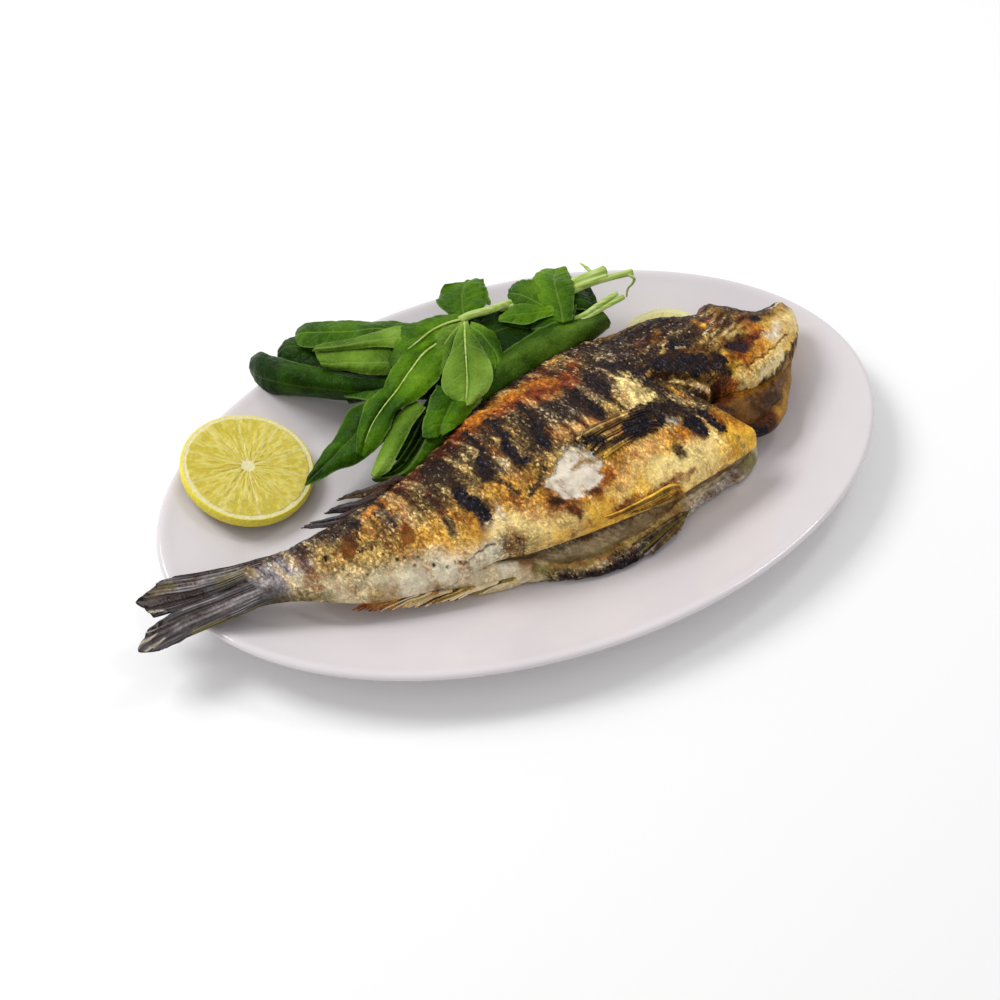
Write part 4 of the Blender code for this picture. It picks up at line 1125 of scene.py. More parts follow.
def makeFin(name, material):
    # a fan of rays: each point lies a share s of the way from the base to the tip, the rays
    # standing up as ridges, the ends torn to uneven lengths
    own = fins[name]
    rayCount, seed, rows, perRay = own["rays"], own["seed"], 90, 11
    count = rayCount * perRay + 1
    t = np.linspace(0, 1, count)
    s = np.linspace(0, 1, rows)[:, None]
    base, tip = (pathThrough(own[key], count) for key in ("base", "tip"))
    ends = np.random.default_rng(seed).random(rayCount + 1)
    length = 1 - own["ragged"] * np.interp(t * rayCount / 1.4, np.arange(rayCount + 1), ends)
    reach = tip - base
    side = np.stack([-reach[:, 1], reach[:, 0], 0 * reach[:, 0]], 1)
    side /= np.linalg.norm(side, axis=1, keepdims=True)
    grid = base + reach * (s * length)[..., None]
    grid += side * (own["bow"] * np.sin(math.pi * s) * (1 - 2 * np.abs(t - 0.35)))[..., None]
    grid[..., 2] -= own["sink"] * (1 - ramp(s, 0, 0.2))
    # ridges of the rays, and finer streaks drawn out along them
    warped = t + lumps(np.stack([t * 9, 0 * t], -1), 1, seed + 9, 2) * 0.6 / rayCount
    places = grid[..., :2]
    ridge = np.cos(warped * rayCount * 2 * math.pi + lumps(places, 9, seed, 2) * 2.0)
    drawn = np.stack([t * rayCount * 1.7 + 0 * s, s * 2.2 + 0 * t], -1)
    ridge = 0.45 * ridge + 0.55 * np.clip(lumps(drawn, 1, seed + 3, 3) * 4, -1.4, 1.4)
    grid = grid + np.array([0, 0, 1.0]) * (lumps(places, 16, seed + 1, 3) * 2.0 * s)[..., None]
    rounded = 0.35 + 0.65 * np.sin(math.pi * (t * 0.96 + 0.02)) ** 0.4
    half = own["thick"] / 2 * (1 - 0.75 * s ** 0.7) * rounded
    relief = 0.3 * ridge * (0.4 + 0.6 * ramp(s, 0, 0.2)) * min(1.0, own["thick"] * 0.5)
    # painted shade in the grooves and patchy painted highlights on the crests
    paint = paintWith(places, own["paint"], "tail", seed + 2, (0.7, 0.3))
    paint[..., 4] *= 0.3
    tint(paint, ramp(-ridge, 0.05, 0.7) * 0.6, channels("#1c1718", 0.2, 0.0, 0.5))
    patchy = 0.15 + 0.6 * ramp(lumps(places, 7, seed + 4, 2), -0.05, 0.25)
    crest = ramp(ridge, 0.35, 0.9) * patchy * (1 - paint[..., 3])
    tint(paint, crest, channels("#a8a2a4", 0.0, 0.0, 0.7))
    normal = normalsOf(grid)
    normal *= np.sign(normal[..., 2].mean())
    above = grid + normal * (half + relief + 0.12)[..., None]
    below = grid - normal * (half + 0.12)[..., None]
    ring, both = (np.concatenate([a, b[:, ::-1]], 1) for a, b in ((above, below), (paint, paint)))
    addFishPart("fin_" + name, [(ring, both)], material, 0.3)


# rays that stand apart: each tone list is drawn from by chance, one tone to a ray
rays = {
    "rear_dorsal": {
        "base": [(-87, -3.5, 31), (-79, -1.5, 33), (-70, 1, 34.5), (-58, 4, 36)],
        "tip": [(-114, 5.6, 28), (-104.5, 7.2, 28.5), (-95, 10.4, 29.5), (-86, 14, 30.5)],
        "count": 18, "lobes": 3, "width": (1.9, 0.3), "ragged": 0.16, "bow": -1.2,
        "sink": 1.5, "seed": 103,
        "tones": ["tail", "dusk", "brown", "oliveDark", "tail", "soot"],
        "paint": [("brown", 3, 3, 0.7, -92, -3, -62, 5),
                  # painted glints on the spines
                  ("silver", 0.6, 0.6, 0.7, -109, 6.6, -97, 5)]},
    "anal": {
        "base": [(-90, -37, 17.5), (-78, -42.5, 16.5), (-64, -47.5, 15.5), (-48, -52, 14.5),
                 (-34, -55.5, 14.5)],
        "tip": [(-108.5, -35.6, 17), (-100, -38.5, 14), (-88, -43.2, 12.8), (-72, -48.8, 12.3),
                (-54, -53, 12.5)],
        "count": 36, "width": (0.95, 0.3), "ragged": 0.12, "bow": 0.6, "sink": 0, "seed": 106,
        "tones": ["cream", "ochre", "oliveDark", "goldPale", "bone", "olive", "oliveDark", "moss"],
        "paint": [("rust", 3, 2, 0.8, -108, -35, -99, -38),
                  ("peach", 2, 2, 0.5, -98, -37, -90, -40)]},
    "pectoral": {
        "base": [(50, -24), (50.5, -30), (47, -37)],
        "tip": [(9, -24.5), (7, -28), (8.5, -33), (13, -39.5)],
        "count": 24, "width": (0.5, 0.62), "ragged": 0.12, "bow": 1.6, "sink": 2.6, "seed": 107,
        "above": 0.55,
        "tones": ["olive", "ochre", "oliveDark", "olive", "goldPale", "oliveDark", "brown"],
        "paint": [("yellow", 1.8, 1.6, 0.7, 13, -38.5, 26, -38.5, 34, -40),
                  ("soot", 2.6, 1.8, 0.9, 13, -28.5, 17, -31.5),
                  ("char", 4.4, 2.4, 1, 34, -32, 40, -31),
                  ("soot", 3, 2.6, 0.85, 40, -26, 54, -30)]},
    "pelvic": {
        "base": [(43.0, -58.8, 37.5), (43.5, -61.2, 34.5), (43.5, -62, 30.5)],
        "tip": [(-3.2, -58.2, 33.5), (2.5, -58.6, 32.8), (12, -59.6, 30.5), (26, -60.8, 29.5)],
        "count": 15, "width": (0.8, 0.3), "ragged": 0.12, "bow": -0.8, "sink": 4, "seed": 108,
        "tones": ["ochre", "yellow", "goldPale", "ochre", "olive", "gold"],
        "paint": [("rust", 0.8, 0.8, 0.5, 0, -57.5, 30, -58, 42, -58),
                  ("oliveDark", 1.4, 1.2, 0.5, 14, -61, 40, -62.5)]},
    "pelvic_low": {
        "base": [(48, -61, 17), (43, -63, 14)],
        "tip": [(11, -64, 14), (2, -66.5, 10), (8, -68.8, 9.6), (14.5, -70, 9.8), (22, -70, 10),
                (30, -68.5, 11), (39, -66.5, 12)],
        "count": 17, "width": (0.8, 0.5), "ragged": 0.1, "bow": 0, "sink": 2, "seed": 109,
        "tones": ["oliveDark", "moss", "brown", "silver", "olive", "dusk", "ochre"],
        "paint": [("soot", 2.6, 2, 0.9, 2, -67, 10, -69),
                  ("oliveDark", 3, 3, 0.5, 26, -69, 38, -66)]},
}


def makeRays(name, material):
    # ray k runs from a share t of the base line to the same share of the tip line, bowed to one
    # side by sin(pi s), its section a flat oval whose half width changes evenly along it
    own = rays[name]
    count, rows, sides, steps = own["count"], 44, 12, 101
    random = np.random.default_rng(own["seed"])
    t = (np.arange(count) + 0.5 + random.uniform(-0.25, 0.25, count)) / count
    # in a fin of lobes the tips are drawn together, so that each lobe ends in a point
    lobe = (np.floor(t * own["lobes"]) + 0.5) / own["lobes"] if "lobes" in own else t
    base, tip = ([np.interp(at, np.linspace(0, 1, steps), column)
                  for column in pathThrough(own[key], steps).T]
                 for key, at in (("base", t), ("tip", t + (lobe - t) * 0.85)))
    base, tip = np.stack(base, -1)[:, None], np.stack(tip, -1)[:, None]
    s = np.linspace(0, 1, rows)[None, :, None]
    path = base + (tip - base) * s * random.uniform(1 - own["ragged"], 1, (count, 1, 1))
    side = np.stack([(tip - base)[..., 1], (base - tip)[..., 0]], -1)
    side = side / np.linalg.norm(side, axis=-1, keepdims=True)
    path[..., :2] += side * own["bow"] * np.sin(math.pi * s)
    if "above" in own:  # a fin lying on the flank
        flank = flankHeight(path[..., :1], path[..., 1:])
        path = np.concatenate([path, flank + own["above"]], -1)
    depth = own["sink"] * (1 - ramp(s[..., 0], 0, 0.2))
    path[..., 2] += random.uniform(-0.35, 0.35, (count, 1)) - depth
    path += lumps(path, 5, own["seed"] + 1, 2)[..., None] * 0.8 * s
    wide, narrow = own["width"]
    half = ((wide + (narrow - wide) * s) * ramp(s, -0.01, 0.14))[..., None]
    a = np.linspace(0, 2 * math.pi, sides, endpoint=False)
    ring = np.broadcast_to(path[:, :, None], (count, rows, sides, 3)).copy()
    ring[..., :2] += half * side[:, :, None] * np.cos(a)[:, None]
    ring[..., 2] += half[..., 0] * 0.6 * np.sin(a)
    parts = []
    for grid in ring:
        tone = own["tones"][random.integers(len(own["tones"]))]
        paint = paintWith(grid[..., :2], own["paint"], tone, own["seed"] + 2, (0.8, 0.4))
        paint[..., 4] *= 0.4
        parts.append((grid, paint))
    addFishPart("fin_" + name, parts, material, 0.3)


def skinMaterial(name, shine):
    # skin of a grilled fish: oily and rumpled, with painted pale glints on the scales and painted
    # shade in the gaps between them and in thin creases, stained brown in clouds, and blistered
    # char with a bluish bloom and painted pale glints as specks
    material, tree, shader = newMaterial(name, IOR=1.45, Specular_IOR_Level=shine)
    paint = addNode(tree, "Attribute", attribute_name="paint")
    masks = addNode(tree, "Attribute", attribute_name="masks")
    mask = addNode(tree, "SeparateColor", {"Color": masks})
    place = addNode(tree, "TexCoord").outputs["Object"]
    # drawn out by half across the fish: scales 1.3 mm, pushed out of line by 0.6 mm, grit 0.9 mm,
    # blotches 3.5 mm, creases 5 mm apart, stains and clouds 9 to 14 mm
    turned = addNode(tree, "Mapping", {"Vector": place, "Rotation": (0, 0, fishTurn + 0.15),
                                       "Scale": (1.0, 1.6, 1.0)}, vector_type="TEXTURE")
    shift = addNode(tree, "TexNoise", {"Vector": turned, "Scale": 420.0, "Detail": 2.0})
    shift = addNode(tree, "VectorMath", {0: shift.outputs["Color"], 1: (0.0018, 0.0018, 0.0018)},
                    operation="MULTIPLY")
    pushed = addNode(tree, "VectorMath", {0: turned, 1: shift}, operation="ADD")
    scale = addNode(tree, "TexVoronoi", {"Vector": pushed, "Scale": 760.0})
    own = addNode(tree, "SeparateColor", {"Color": scale.outputs["Color"]})
    grit = addNode(tree, "TexNoise", {"Vector": pushed, "Scale": 1050.0, "Detail": 2.0,
                                      "Roughness": 0.6})
    blotch = addNode(tree, "TexNoise", {"Vector": turned, "Scale": 280.0, "Detail": 4.0,
                                        "Roughness": 0.62})
    crease = addNode(tree, "TexNoise", {"Vector": turned, "Scale": 260.0, "Detail": 3.0,
                                        "Roughness": 0.55, "Distortion": 0.4})
    broad = addNode(tree, "TexNoise", {"Vector": turned, "Scale": 75.0, "Detail": 3.0})
    stain = addNode(tree, "TexNoise", {"Vector": turned, "Scale": 115.0, "Detail": 5.0,
                                       "Roughness": 0.65})
    # brightness over a scale, painted light and shade: high at its middle, low in the gaps, times
    # its own share
    uneven = addNode(tree, "Math", {0: grit, 1: 0.9, 2: scale}, operation="MULTIPLY_ADD")
    relief = addNode(tree, "MapRange", {"Value": uneven, "From Min": 0.6, "From Max": 1.15,
                                        "To Min": 1.9, "To Max": 0.22})
    share = addNode(tree, "MapRange", {"Value": own.outputs["Red"], "To Min": 0.5, "To Max": 1.45})
    relief = addNode(tree, "Math", {0: relief, 1: share}, operation="MULTIPLY")
    # painted shade in thin creases where their noise crosses its middle
    off = addNode(tree, "Math", {0: crease, 1: 0.5}, operation="SUBTRACT")
    off = addNode(tree, "Math", {0: off}, operation="ABSOLUTE")
    lines = addNode(tree, "MapRange", {"Value": off, "From Max": 0.035, "To Min": 0.3})
    relief = addNode(tree, "Math", {0: relief, 1: lines}, operation="MULTIPLY")
    less = addNode(tree, "Math", {0: relief, 1: 1.0}, operation="SUBTRACT")
    scaly = addNode(tree, "Math", {0: less, 1: mask.outputs["Green"], 2: 1.0},
                    operation="MULTIPLY_ADD")
    # unevenness: each noise gives a share of brightness, and they are multiplied together
    worn, *others = [addNode(tree, "MapRange", {"Value": noise, "From Min": 0.3, "From Max": 0.7,
                                                "To Min": low, "To Max": high})
                     for noise, low, high in ((blotch, 0.5, 1.5), (broad, 0.9, 1.38),
                                              (grit, 1.3, 0.7))]
    for other in others:
        worn = addNode(tree, "Math", {0: worn, 1: other}, operation="MULTIPLY")
    # bare flesh keeps about a fifth of that unevenness
    even = addNode(tree, "MapRange", {"Value": mask.outputs["Green"], "From Max": 0.25,
                                      "To Min": 0.22})
    worn = addNode(tree, "Math", {0: worn, 1: 1.0}, operation="SUBTRACT")
    worn = addNode(tree, "Math", {0: worn, 1: even, 2: 1.0}, operation="MULTIPLY_ADD")
    value = addNode(tree, "Math", {0: worn, 1: scaly}, operation="MULTIPLY")
    shaded = addNode(tree, "VectorMath", {0: paint, "Scale": value}, operation="SCALE")
    # brown stains, stronger where the skin is scaly
    browned = addNode(tree, "MapRange", {"Value": stain, "From Min": 0.5, "From Max": 0.64,
                                         "To Max": 0.75})
    browned = addNode(tree, "Math", {0: browned, 1: even}, operation="MULTIPLY")
    shaded = addNode(tree, "Mix", {0: browned, 6: shaded, 7: hexToLinear("#a8642c")},
                     data_type="RGBA", blend_type="MULTIPLY")
    # painted glints: the brightest scales mixed towards a pale cream
    lit = addNode(tree, "MapRange", {"Value": scaly, "From Min": 1.3, "From Max": 2.2,
                                     "To Max": 0.5})
    paler = addNode(tree, "Mix", {0: lit, 6: shaded, 7: hexToLinear("#f0deb4")}, data_type="RGBA")
    # char: the painted share pushed over its edge by the noises, brown before it is black
    push = addNode(tree, "Math", {0: blotch, 1: grit}, operation="ADD")
    push = addNode(tree, "Math", {0: push, 1: 1.0}, operation="SUBTRACT")
    gate = addNode(tree, "Math", {0: mask.outputs["Red"], 1: 5.0, 2: mask.outputs["Green"]},
                   operation="MULTIPLY_ADD", use_clamp=True)
    gate = addNode(tree, "Math", {0: gate, 1: 1.9}, operation="MULTIPLY")
    push = addNode(tree, "Math", {0: push, 1: gate, 2: mask.outputs["Red"]},
                   operation="MULTIPLY_ADD")
    scorched = addNode(tree, "MapRange", {"Value": push, "From Min": 0.26, "From Max": 0.55,
                                          "To Max": 0.85})
    brown = addNode(tree, "Mix", {0: scorched, 6: paler, 7: hexToLinear("#30180a")},
                    data_type="RGBA")
    charred = addNode(tree, "MapRange", {"Value": push, "From Min": 0.52, "From Max": 0.72})
    # char over the unevenness: blue-black, its palest specks painted glints
    charWithGlints = addNode(tree, "ValToRGB", {"Fac": uneven},
                  [(0.5, "#716b7c"), (1.05, "#08070d"), (0.64, "#3c3645"), (0.8, "#1e1a26")])
    whole = addNode(tree, "Mix", {0: charred, 6: brown, 7: charWithGlints}, data_type="RGBA")
    oily = addNode(tree, "MapRange", {"Value": mask.outputs["Blue"], "To Min": 0.55, "To Max": 0.2})
    height = addNode(tree, "Math", {0: grit, 1: blotch}, operation="ADD")
    height = addNode(tree, "Math", {0: lines, 1: 0.3, 2: height}, operation="MULTIPLY_ADD")
    height = addNode(tree, "Math", {0: height, 1: even}, operation="MULTIPLY")
    bump = addNode(tree, "Bump", {"Height": height, "Strength": 0.8, "Distance": 0.0011})
    setSockets(tree, shader, {"Base Color": whole, "Roughness": oily, "Normal": bump})
    return material


skin = skinMaterial("grilled bream skin", 0.16)
lining = skinMaterial("oily mouth lining", 0.22)
makeTrunk(skin)
makeHead(skin)
makeJaw(lining)
makeThroat(lining)
makeFlap(skin)
for name in fins:
    makeFin(name, skin)
for name in rays:
    makeRays(name, skin)
print("fish made")


# rocket: leaves, stems and the bunch's core

salad = {
    "rows": 64, "columns": 29, "thick": 0.5,
    "core": [-62, 66, 22, -40, 58, 25, -18, 54, 27, 8, 58, 28, 34, 64, 29, 58, 70, 29],
    "coreWidths": [5, 9, 12, 12, 9, 4],
}
# what a leaf has unless it says otherwise: teeth and rib as shares of its width, the length of its
# margin's waves and their height, how far its veins show and lie apart, and which side is up
leafUsual = {"teeth": 0.012, "rib": 0.5, "wave": 5.3, "ruffle": 0.25, "veined": 0.3,
             "spacing": 6.0, "under": False}
# each leaf: its tone from dark to light, how crinkled it is, and lines of x, y, z, x, y, z and so
# on from its foot to its tip
leaves = {
    "rolled_left": {"tone": 0.14, "crinkle": 0.25, "veined": 0.05, "lines": [
        [-35.6, 65, 27, -56.3, 73.2, 28, -72.7, 81.6, 31, -81, 88.9, 31, -87.8, 96, 31,
         -91.3, 102.3, 29, -95.4, 103.1, 26],
        [-38.4, 57.6, 31, -58.9, 65.4, 33, -74.9, 74.6, 34.5, -84.2, 81.5, 34.5, -91, 90.5, 33,
         -94.8, 97.7, 30, -97.5, 99.7, 26],
        [-40.7, 51.7, 31, -60.8, 60.5, 32.5, -76.8, 70, 33, -85.9, 76.9, 33, -92.8, 85.7, 31,
         -96.7, 92.8, 28, -98.2, 99.3, 24],
        [-42.6, 51.5, 26, -61.4, 60, 27, -77.5, 69.6, 27, -86.9, 76, 27, -94.3, 83.6, 25,
         -97.5, 90.3, 24, -98.2, 98.5, 22],
        [-42.8, 54, 21, -60.6, 63.4, 20, -76.8, 73, 20.5, -86.6, 79, 20, -93.7, 84.2, 19.5,
         -96.8, 89.3, 20, -97.7, 96.9, 20],
        [-41.3, 62.4, 15, -58.2, 70.8, 15, -73.9, 79.6, 16, -83.8, 85.2, 17, -90.4, 88.5, 18,
         -93.9, 92.6, 19, -95.7, 98.7, 19.5]]},
    "behind_left": {"tone": 0.1, "crinkle": 0.5, "veined": 0.06, "lines": [
        [-53, 91.3, 28, -66.6, 101.8, 29, -73.4, 105.3, 29, -77.7, 106.1, 28, -81.6, 104.2, 26],
        [-55.9, 83.1, 30, -69.8, 92.6, 31, -75.9, 97.5, 31, -80, 100.8, 29, -83.6, 101.4, 26],
        [-59.8, 73.5, 26.5, -73.3, 83.6, 27.5, -78.4, 88.7, 27.5, -81.8, 93.5, 26.5,
         -84, 99.1, 25]]},
    "under_left": {"tone": 0.12, "crinkle": 0.6, "lines": [
        [-20.8, 69.8, 31, -40.2, 78.2, 30, -61.8, 87.6, 29],
        [-27.4, 53.7, 32, -46.5, 62.1, 31.5, -65, 73.5, 30],
        [-33.2, 40, 31, -50.2, 46.6, 30, -64.9, 59.8, 27]]},
    "under_right": {"tone": 0.0, "crinkle": 0.8, "veined": 0.08, "lines": [
        [0.2, 74.5, 38, 20.3, 75.4, 38.5, 43.3, 74.2, 38.5, 66.1, 71.8, 37],
        [-1.6, 58.4, 40, 20.5, 58.8, 40.5, 41.3, 59.1, 40.5, 64.3, 60.7, 38],
        [0.1, 41.9, 38, 19.3, 45, 39, 38.3, 47.3, 39, 62.6, 54, 36]]},
    "under_stem": {"tone": 0.14, "crinkle": 0.9, "ruffle": 1.0, "veined": 0.1, "lines": [
        [15, 63.7, 39, 24.3, 74.1, 40, 37.3, 80.6, 40.5, 54.3, 82.9, 40],
        [21.5, 55.5, 41, 32.4, 63.5, 42, 43.4, 70.1, 42.5, 55.5, 76.6, 41.5],
        [32.4, 50.2, 39.5, 41.8, 55.8, 40.5, 51.3, 63.6, 40.5, 60.1, 73.9, 39.5]]},
    "under_fold": {"tone": 0.0, "crinkle": 0.5, "lines": [
        [-30.6, 40.1, 33, -46.3, 28.3, 31.5, -60.9, 16.2, 28.5],
        [-25.9, 33.6, 34, -40.2, 21.8, 32, -55.1, 10.5, 29],
        [-19.4, 29.3, 32, -33.2, 18.8, 30.5, -47.4, 9.6, 27]]},
    "top_left": {"tone": 0.46, "crinkle": 0.5, "ruffle": 0.5, "lines": [
        [-16.1, 80.7, 37, -26, 84.8, 38, -37.6, 91, 37.5, -49.8, 98, 36.5, -60.6, 102.9, 35.5,
         -68.2, 105.6, 34.5, -71.2, 105.1, 33.5],
        [-17.9, 76.2, 38.5, -28, 79.7, 40, -39.6, 85.9, 39.5, -51.8, 92.2, 38.5, -62.4, 97.4, 37.5,
         -70.6, 101.3, 36, -73, 102.4, 34],
        [-19.2, 73.1, 38.5, -29, 77.2, 40, -41.1, 82, 40, -53.2, 85.6, 39, -64, 90.2, 38,
         -72.1, 95.5, 36.5, -74.3, 99.3, 34],
        [-21.4, 71.4, 37, -29.3, 76.7, 38, -42.1, 79.7, 38.5, -54, 81.3, 38, -63.5, 83.8, 37,
         -71.2, 88.6, 35.5, -74.1, 95.2, 33]]},
    "top_left_fold": {"tone": 0.38, "under": True, "crinkle": 0.3, "lines": [
        [-19.5, 73.5, 39.5, -29.1, 79.2, 41.5, -42.2, 80.4, 41.5, -53.7, 81.6, 40.5,
         -62.2, 84, 39.5, -68.3, 86.6, 38],
        [-21.6, 68.2, 40.5, -32.4, 71.1, 42.3, -44.3, 74.6, 42.3, -55.1, 77.7, 41.3,
         -63.3, 81.1, 40, -69.8, 85.2, 38],
        [-23, 65.2, 38, -34.2, 66.9, 40, -45.2, 72.9, 40, -55.3, 77.1, 39, -63.6, 80.7, 38,
         -70.8, 85.5, 36.5]]},
    "pale_left": {"tone": 0.22, "under": True, "crinkle": 0.45, "lines": [
        [-23.8, 68.1, 37, -31.9, 72.8, 38, -43.9, 78.9, 38, -53.5, 82, 37.5, -62.3, 84.5, 36.5,
         -69.3, 87.2, 35],
        [-27.6, 59, 37, -36, 62.6, 38.5, -47.9, 68.7, 38.5, -57.2, 72.7, 38, -65, 75.9, 37,
         -69.9, 81, 35],
        [-30.9, 55.9, 36, -39.9, 59.1, 37.5, -50.4, 63.8, 37.5, -59.6, 69.2, 37, -65.7, 72.7, 36,
         -69.5, 77.4, 34.5],
        [-34.8, 53.9, 33, -43.8, 58.6, 34, -52.4, 62.8, 34, -60.2, 69.5, 34, -65, 72.6, 33.5,
         -68.5, 76, 32.5]]},
    "inner_left": {"tone": 0.32, "crinkle": 0.9, "ruffle": 0.6, "veined": 0.1, "lines": [
        [0.3, 73.2, 43, -10.2, 76, 43, -16.6, 76.5, 42.5, -24.3, 78.7, 42, -29.5, 82.1, 40.5,
         -35.1, 82.3, 38],
        [-1.1, 69.2, 45, -11.3, 70.9, 45, -18.2, 70.2, 44.5, -26.5, 70.7, 43.5, -31.4, 71, 42,
         -35.2, 69.3, 40.5],
        [-1.7, 67.3, 45, -11.8, 66, 45, -18.9, 64.7, 44.5, -27.8, 62.6, 43.5, -34.8, 62.5, 42,
         -41.7, 62.8, 40],
        [-1.8, 66.1, 43.5, -12.3, 61.4, 43.5, -19.6, 58.6, 42.5, -28, 56.4, 41.5, -35.3, 54.3, 40,
         -41.2, 52.1, 38]]},
    "frilly": {"tone": 0.38, "crinkle": 1.3, "ruffle": 1.1, "wave": 4.5, "teeth": 0.018,
        "veined": 0.2, "lines": [
        [-4.7, 73.4, 41.5, -5.9, 79, 41, -7.1, 83.7, 40, -6.5, 89.3, 38.5, -3.2, 95.5, 37.5,
         1.5, 99.4, 37],
        [-2.3, 71.9, 42.5, -2.2, 79.3, 42.5, -1.3, 87.5, 41, 0.9, 94.2, 39, 4.1, 98, 37.5,
         7.1, 98.8, 37],
        [-0.1, 71.2, 43.5, 2.1, 78.5, 43.5, 5.1, 85.6, 42, 9.3, 92.9, 39.5, 13, 97.9, 37.5,
         15.9, 99.7, 36.5],
        [3.5, 71.1, 43.5, 7.2, 76.2, 43.5, 11.6, 82.7, 42, 15.8, 89.9, 39.5, 18.8, 95.6, 37.5,
         21.2, 98.7, 36],
        [8.5, 72.2, 42.5, 13.1, 74.5, 42, 17.1, 77.5, 40.5, 18, 84.3, 39.5, 19.6, 90.8, 38,
         21.3, 96.5, 36.5]]},
    "right_back": {"tone": 0.44, "crinkle": 0.9, "ruffle": 0.8, "wave": 4.6, "teeth": 0.022,
        "lines": [
        [36.1, 50.7, 44, 35.3, 58.8, 45, 34.1, 66, 45, 36, 74.7, 44, 41, 81.8, 42, 45.1, 86.2, 41],
        [37.5, 48.2, 45, 38.3, 58.6, 46.5, 38.8, 67.4, 46.5, 40.8, 75.9, 45, 45.6, 83.8, 42.5,
         49.9, 87.2, 41],
        [39.1, 46.2, 45.5, 42.6, 56.8, 47, 45, 66.3, 47, 48.5, 75.5, 45, 52.1, 81.8, 43,
         54.3, 85.3, 41.5],
        [41.7, 46.3, 45, 46.7, 55.6, 46.5, 50, 64.6, 46.5, 53.3, 73.4, 45, 56.3, 80.7, 43,
         58.5, 85, 41.5],
        [43.8, 47.2, 44, 50.6, 57, 44.5, 54.1, 64.2, 44, 57.1, 72.5, 43, 58.8, 79.2, 42,
         59.6, 84.1, 41.5]]},
    "right_left": {"tone": 0.46, "crinkle": 0.8, "ruffle": 0.7, "wave": 4.6, "teeth": 0.018,
        "lines": [
        [44.5, 68.2, 43, 42.5, 77.2, 43, 38.4, 80.9, 43, 33.8, 83.4, 42, 29.3, 82.6, 41.5],
        [40.3, 59.5, 45, 36.2, 67.3, 45.7, 33.4, 72.5, 45.5, 30, 77.4, 44, 26.8, 80.1, 42],
        [36.9, 54.5, 44.8, 32, 60.4, 45.5, 29.4, 65.9, 45, 26.8, 72.6, 43.5, 25.2, 77.7, 42],
        [35.2, 53, 43, 30.5, 58.2, 43.5, 27.1, 63.3, 43, 25, 69.9, 42, 24.5, 75.6, 41.5]]},
    "right_pale": {"tone": 0.5, "crinkle": 0.8, "ruffle": 0.9, "wave": 4, "teeth": 0.016,
        "veined": 0.15, "lines": [
        [42.6, 59.9, 45, 34.9, 61.1, 46, 28.6, 64.2, 45.5, 22.1, 67, 44, 16.9, 66.8, 43],
        [39.7, 55, 46.5, 32.1, 56.4, 47, 25.8, 58.3, 46.5, 19.6, 61.4, 45, 14.1, 64, 43],
        [38.2, 53, 45, 30.4, 52.6, 45.5, 23.9, 53, 44.5, 18.6, 57, 43.5, 14, 62.6, 42]]},
    "right_front": {"tone": 0.34, "crinkle": 0.5, "ruffle": 0.9, "lines": [
        [52.1, 57.9, 42.5, 43.8, 55.9, 43.5, 38, 55.6, 43.5, 32.3, 55.6, 42.5, 27.8, 55.7, 41],
        [47, 49.6, 44.5, 39.8, 48.6, 45, 34.7, 48.7, 45, 30.2, 49, 44, 25.7, 52.4, 41.5],
        [43.9, 45.4, 43, 38.1, 45.1, 43, 33.3, 45.6, 42.5, 29, 47.4, 42, 26.1, 51, 40]]},
    "lobe_middle": {"tone": 0.44, "under": True, "crinkle": 0.7, "ruffle": 0.6, "spacing": 6.5,
        "veined": 0.8, "lines": [
        [-3.1, 65.3, 46, -11.3, 55.4, 46.5, -18.4, 45.9, 46.5, -24.9, 38.7, 45.5, -27.8, 32.9, 44.5,
         -27, 26.8, 43.5, -24.2, 21, 43],
        [-2.9, 64.6, 46.5, -9.6, 53.7, 47.3, -15.6, 43.2, 47.8, -21, 35.1, 47.3, -24.4, 28.4, 46,
         -24.6, 23.4, 44.5, -23.5, 19.4, 43.3],
        [-2.4, 65, 46, -7.2, 53.4, 46.6, -11.6, 42, 47.2, -15.1, 32.9, 46.8, -18.2, 25.8, 45.8,
         -20.8, 21, 44.5, -22.4, 18, 43.3],
        [-2.2, 64.3, 46.5, -4.7, 52.3, 47.3, -7.2, 40.8, 47.8, -9.9, 30.8, 47.3, -13.4, 23.5, 46,
         -17.6, 19.5, 44.5, -21, 17.9, 43.3],
        [-1.4, 64.5, 46, -1.5, 52.7, 46.3, -2.1, 41.7, 46.2, -3, 32.6, 45.3, -5.1, 26.3, 44.3,
         -10.7, 21.4, 43.3, -17.5, 18.7, 42.7]]},
    "lobe_left": {"tone": 0.36, "under": True, "crinkle": 0.7, "ruffle": 0.5, "veined": 0.7,
        "lines": [
        [-3.7, 66.3, 46, -11.3, 64.8, 45.5, -16.7, 63.4, 44.5, -21.2, 58.2, 43.5, -23.7, 50, 43,
         -24.7, 44, 42.5],
        [-3.8, 64.7, 46.8, -10.2, 60.3, 46.8, -16.1, 56, 46, -20.4, 50.5, 45, -23.2, 45.2, 44,
         -24.1, 41.8, 43],
        [-3.2, 63.9, 46, -8.5, 57.4, 45.5, -13.1, 51.5, 45, -17.5, 45.8, 44.3, -20.6, 42, 43.3,
         -23.2, 39.4, 42.3]]},
    "lobe_right": {"tone": 0.62, "crinkle": 0.9, "ruffle": 0.9, "wave": 4.2, "teeth": 0.022,
        "lines": [
        [-1.9, 62.3, 45, -1.8, 52.1, 45, -1.8, 43.2, 44.7, -2, 35.9, 43.8, -3.5, 30.3, 42.5],
        [-1.2, 61.5, 46, 1.3, 53.5, 46.3, 2.7, 46.4, 45.7, 2.5, 39.3, 44.5, -0.4, 32.8, 42.7],
        [0.1, 63.3, 45.2, 5.8, 60.1, 44.8, 9.2, 54.3, 43.8, 8.9, 46.9, 42.8, 6, 39.8, 42,
         0.9, 33.5, 41.5]]},
